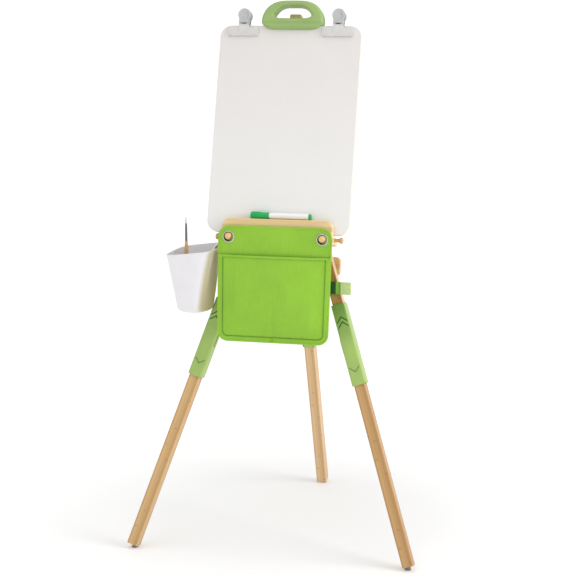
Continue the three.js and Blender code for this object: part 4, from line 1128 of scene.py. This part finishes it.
# sewn behind the pouch, back to the right leg, across its front to a free fuzzy end
def build_side_strap():
    low, high = span("side_strap", WORLD)
    z0, z1 = low.z, high.z
    sewn = low.x + 0.014
    tail = high.x
    across = high.y - 0.0018
    corners = [(low.x, low.y + 0.0012), (sewn, low.y + 0.0012), (sewn - 0.0008, across), (tail - 0.029, across - 0.0006)]
    path = filleted([*corners, (tail, across - 0.0034)], 0.0045)
    dark_end, loop_end = tail - 0.0336, tail - 0.0235

    def between(a, b):
        dense = []
        for p, q in zip(path, path[1:]):
            count = max(1, int((q - p).length / 0.0015))
            dense += [p.lerp(q, k / count) for k in range(count)]
        dense.append(path[-1])
        bent = next(i for i, p in enumerate(dense) if p.y > across - 0.004)
        return [p for i, p in enumerate(dense) if (i < bent and a is None) or (i >= bent and (a or 0) <= p.x <= b)]

    # the run from the pouch back to the leg is very dark green: partly a darker webbing, partly painted shade where it
    # lies between the pouch and the leg
    dark = ribbon("detail_strap_dark", between(None, dark_end + 0.0008), z0, z1, 0.0015)
    settle(soften(dark, 0.0003, 2, 50), WORLD, "side_strap", WEBBING_DARK, smooth=60)
    loop = ribbon("detail_side_strap", between(dark_end, loop_end + 0.001), z0 - 0.0002, z1 + 0.0002, 0.0017)
    settle(soften(loop, 0.0003, 2, 50), WORLD, "side_strap", WEBBING, smooth=60)
    fuzz = ribbon("detail_strap_fuzz", between(loop_end, tail + 1), z0 - 0.0004, z1 + 0.0004, 0.0027)
    settle(soften(fuzz, 0.0007, 3, 50), WORLD, "side_strap", FUZZ, smooth=60)
    x = loop_end - 0.0020
    seam = [(x, across - 0.0020, z0 + 0.0015 + (z1 - z0 - 0.003) * i / 6) for i in range(7)]
    settle(stitches("detail_strap_seam", seam, (0, -0.0004, 0), 0.0032, 0.0026, 0.0005), WORLD, "side_strap", THREAD, smooth=60)


build_side_strap()


# ---------------------------------------------------------------- cup and brush
def build_cup():
    bottom, rise, wall, slope = 0.5090, 0.1413, 0.0024, Vector((0.141, 0.065))
    top, rim_x = bottom + rise, 0.049
    peg = LEDGE @ Vector((-0.118, 0.007, -0.0095))
    frame_of_cup = Matrix.Translation((-0.181, peg.y, 0)) @ Matrix.Rotation(math.radians(-9.3), 4, "Z")
    peg = frame_of_cup.inverted() @ peg
    count = 96

    # a point of the wall: t runs from the floor to the rim; the flat wall twists a little on its way up
    def surface(a, t, inset):
        c, s = math.cos(a), math.sin(a)
        power = 3.2 + 1.8 * t if c > 0 else 3.6 + (1.0 * t if s > 0 else 0)
        unit = (abs(c) ** power + abs(s) ** power) ** (-1 / power)
        c, s = c * unit, s * unit
        half = (0.0320 + 0.0230 * t - inset) * (1 - (0.45 * t - 0.20) * s) if c > 0 else 0.0312 + 0.0225 * t - inset
        return Vector((c * half, s * (0.031 + 0.0245 * t - inset), bottom + rise * t))

    def rim_of(a):
        t = 1.0
        for _ in range(8):
            q = surface(a, t, 0)
            t = (rise - slope.x * (rim_x - q.x) + slope.y * q.y) / rise
        return t

    angles = [TURN * i / count for i in range(count)]
    rims = [rim_of(a) for a in angles]

    # a ring part of the way from the floor to the tipped rim, set in from the outer face
    def ring(part, inset, under=0.0, flat=None):
        heights_here = [full * part - under / rise if flat is None else flat / rise for full in rims]
        return [surface(a, t, inset) for a, t in zip(angles, heights_here)]

    edge = 0.012
    rings = [ring(0, edge * 1.3, flat=0.0003)]
    for k in range(11):
        a = math.pi / 2 * k / 10
        rings.append(ring(0, edge * (1 - math.sin(a)), flat=edge * (1 - math.cos(a))))
    rings += [ring(t, 0) for t in (0.15, 0.25, 0.4, 0.55, 0.7, 0.85, 0.94)]
    rings += [ring(1, 0, 0.0026), ring(1, -0.0005, 0.0020), ring(1, -0.0006, 0.0010), ring(1, -0.0002, 0.0002)]
    rings += [ring(1, 0.0010, 0), ring(1, wall - 0.0004, 0.0003), ring(1, wall, 0.0012)]
    rings += [ring(t, wall) for t in (0.94, 0.8, 0.6, 0.4, 0.25)]
    rings += [ring(0, wall + 0.0010, flat=0.0120), ring(0, wall + 0.0040, flat=0.0060), ring(0, wall + 0.0110, flat=wall)]
    shell = skin("shell", rings)

    # the hook leans out of the flat wall and stands up behind it, with a hole for the peg
    hang = 0.0604
    spine = [(0.6405, 0.0508), (0.6445, 0.0515), (0.6480, 0.0521), (0.6515, 0.0534), (0.6550, 0.0556), (0.6585, 0.0582)]
    spine += [(0.6620, 0.0600), (0.6650, hang), (0.6680, hang), (0.6705, hang), (0.6730, hang), (0.6750, hang)]
    spine += [(0.6763, hang), (0.6770, hang), (0.6773, hang)]
    halves = [0.0380, 0.0376, 0.0352, 0.0305, 0.0245, 0.0185, 0.0145, 0.0125, 0.0116, 0.0110, 0.0102, 0.0086, 0.0066, 0.0045, 0.0020]
    columns = 28
    verts, faces = [], []
    for (z, x), w in zip(spine, halves):
        fade = min(1.0, max(0.0, (0.660 - z) / 0.014))
        for k in range(columns + 1):
            y = peg.y + w * (2 * k / columns - 1)
            side = min(0.98, max(-0.98, y / 0.054))
            wall_x = 0.0532 * (1 - abs(side) ** 4.8) ** (1 / 4.8) * (1 - 0.22 * side)
            verts.append((x + (wall_x - 0.0532) * fade, y, z))
    for r in range(len(spine) - 1):
        a = r * (columns + 1)
        b = a + columns + 1
        faces += [(a + k, a + k + 1, b + k + 1, b + k) for k in range(columns)]
    tab = new_object("tab", verts, faces)
    solid = tab.modifiers.new("thickness", "SOLIDIFY")
    solid.thickness = wall
    solid.offset = 0
    apply_all(tab)
    carve(tab, rod("hole", 0.0052, hang - 0.01, hang + 0.01, (peg.y, peg.z), "X", 36))
    soften(tab, 0.0006, 3, 40)
    cup = join("detail_cup", [shell, tab])
    # painted shade and reflection: the olive weight goes on the outer vertices that face +x, on the flat wall
    shade = cup.data.attributes.new("shade", "FLOAT", "POINT")
    for i, v in enumerate(cup.data.vertices):
        turned = min(1.0, max(0.0, (v.normal.x - 0.30) / 0.60)) if v.co.x > 0 else 0.0
        shade.data[i].value = turned * turned * (3 - 2 * turned)
    settle(cup, frame_of_cup, "cup", CUP, smooth=45)


def build_brush():
    up = Vector(JOINT["brush_lift"]["axis"]).normalized()
    base, length = axis_of("brush_handle", up)
    profile = [(0, 0), (0.0012, 0.0004), (0.0018, 0.002), (0.0024, 0.006), (0.0031, 0.030), (0.0039, 0.055), (0.0045, 0.078)]
    profile += [(0.0046, 0.090), (0.0046, 0.124), (0.0041, 0.136), (0.0033, 0.146), (0.0028, length), (0, length)]
    settle(lathe("detail_brush_handle", profile, 0.0006, 28), aim(base, up), "brush_handle", BRUSH_WOOD, smooth=50)
    base, length = axis_of("brush_ferrule", up)
    profile = [(0, 0), (0.0026, 0), (0.0026, 0.0030)]
    for at in (0.0045, 0.0075):
        profile += [(0.0026, at), (0.0023, at + 0.0006), (0.0026, at + 0.0012)]
    profile += [(0.0025, 0.020), (0.0021, length), (0, length)]
    settle(lathe("detail_brush_ferrule", profile, 0.0003, 28), aim(base, up), "brush_ferrule", FERRULE, smooth=50)
    base, length = axis_of("brush_bristles", up)
    rings = []
    for i in range(15):
        t = i / 14
        radius = 0.0020 + 0.0005 * math.sin(math.pi * min(1, t * 1.4)) - 0.0024 * max(0, t - 0.25) ** 1.25
        ring = []
        for k in range(36):
            a = TURN * k / 36
            r = max(0.00012, radius) * (1 + 0.10 * math.sin(k * 3.9 + 1.3 * math.sin(t * 5)))
            ring.append((r * math.cos(a), r * math.sin(a), length * t))
        rings.append(ring)
    settle(skin("detail_brush_bristles", rings), aim(base, up), "brush_bristles", BRISTLE, smooth=70)


build_cup()
build_brush()


# ---------------------------------------------------------------- marker
def build_marker():
    base, length = axis_of("marker_cap", RIGHT)
    big, small = 0.0076, 0.0069
    profile = [(0, 0), (big - 0.0012, 0), (big - 0.0002, 0.0006), (big, 0.0016), (big, 0.0226), (small, 0.0232), (small, length)]
    profile += [(0.0056, length), (0.0054, length - 0.0006), (0.0054, 0.0070), (0, 0.0062)]
    cap = lathe("cap", profile, 0.0004, 48)
    ribs = []
    for k in range(12):
        a = TURN * k / 12
        rib = prism("rib", rounded(-0.0005, 0.0005, 0.003, 0.0200, 0.0004, steps=2), big - 0.0003, big + 0.00035)
        ribs.append(move(rib, Matrix.Rotation(a, 4, "Z")))
    settle(join("detail_marker_cap", [cap, *ribs]), aim(base, RIGHT), "marker_cap", MARKER_GREEN, smooth=50)
    base, length = axis_of("marker_barrel", RIGHT)
    r = 0.0064
    profile = [(0, 0), (0.0012, 0.0002), (0.0020, 0.0012), (0.0024, 0.0070), (0.0032, 0.0100), (0.0050, 0.0120), (0.0050, 0.0262)]
    profile += [(r - 0.0003, 0.0264), (r, 0.0272), (r, length - 0.0090), (r - 0.0003, length - 0.0086), (r - 0.0003, length - 0.0080)]
    profile += [(r, length - 0.0076), (r, length - 0.0004), (r - 0.0004, length), (0, length)]
    settle(lathe("detail_marker_barrel", profile, 0.0003, 48), aim(base, RIGHT), "marker_barrel", MARKER_WHITE, smooth=50)
    base, length = axis_of("marker_end_plug", RIGHT)
    profile = [(0, 0), (0.0061, 0), (0.0061, 0.0034), (0.0054, 0.0046), (0.0044, length), (0.0020, length), (0.0018, length - 0.0006), (0, length - 0.0006)]
    settle(lathe("detail_marker_end_plug", profile, 0.0005, 48), aim(base, RIGHT), "marker_end_plug", MARKER_GREEN, smooth=50)


build_marker()
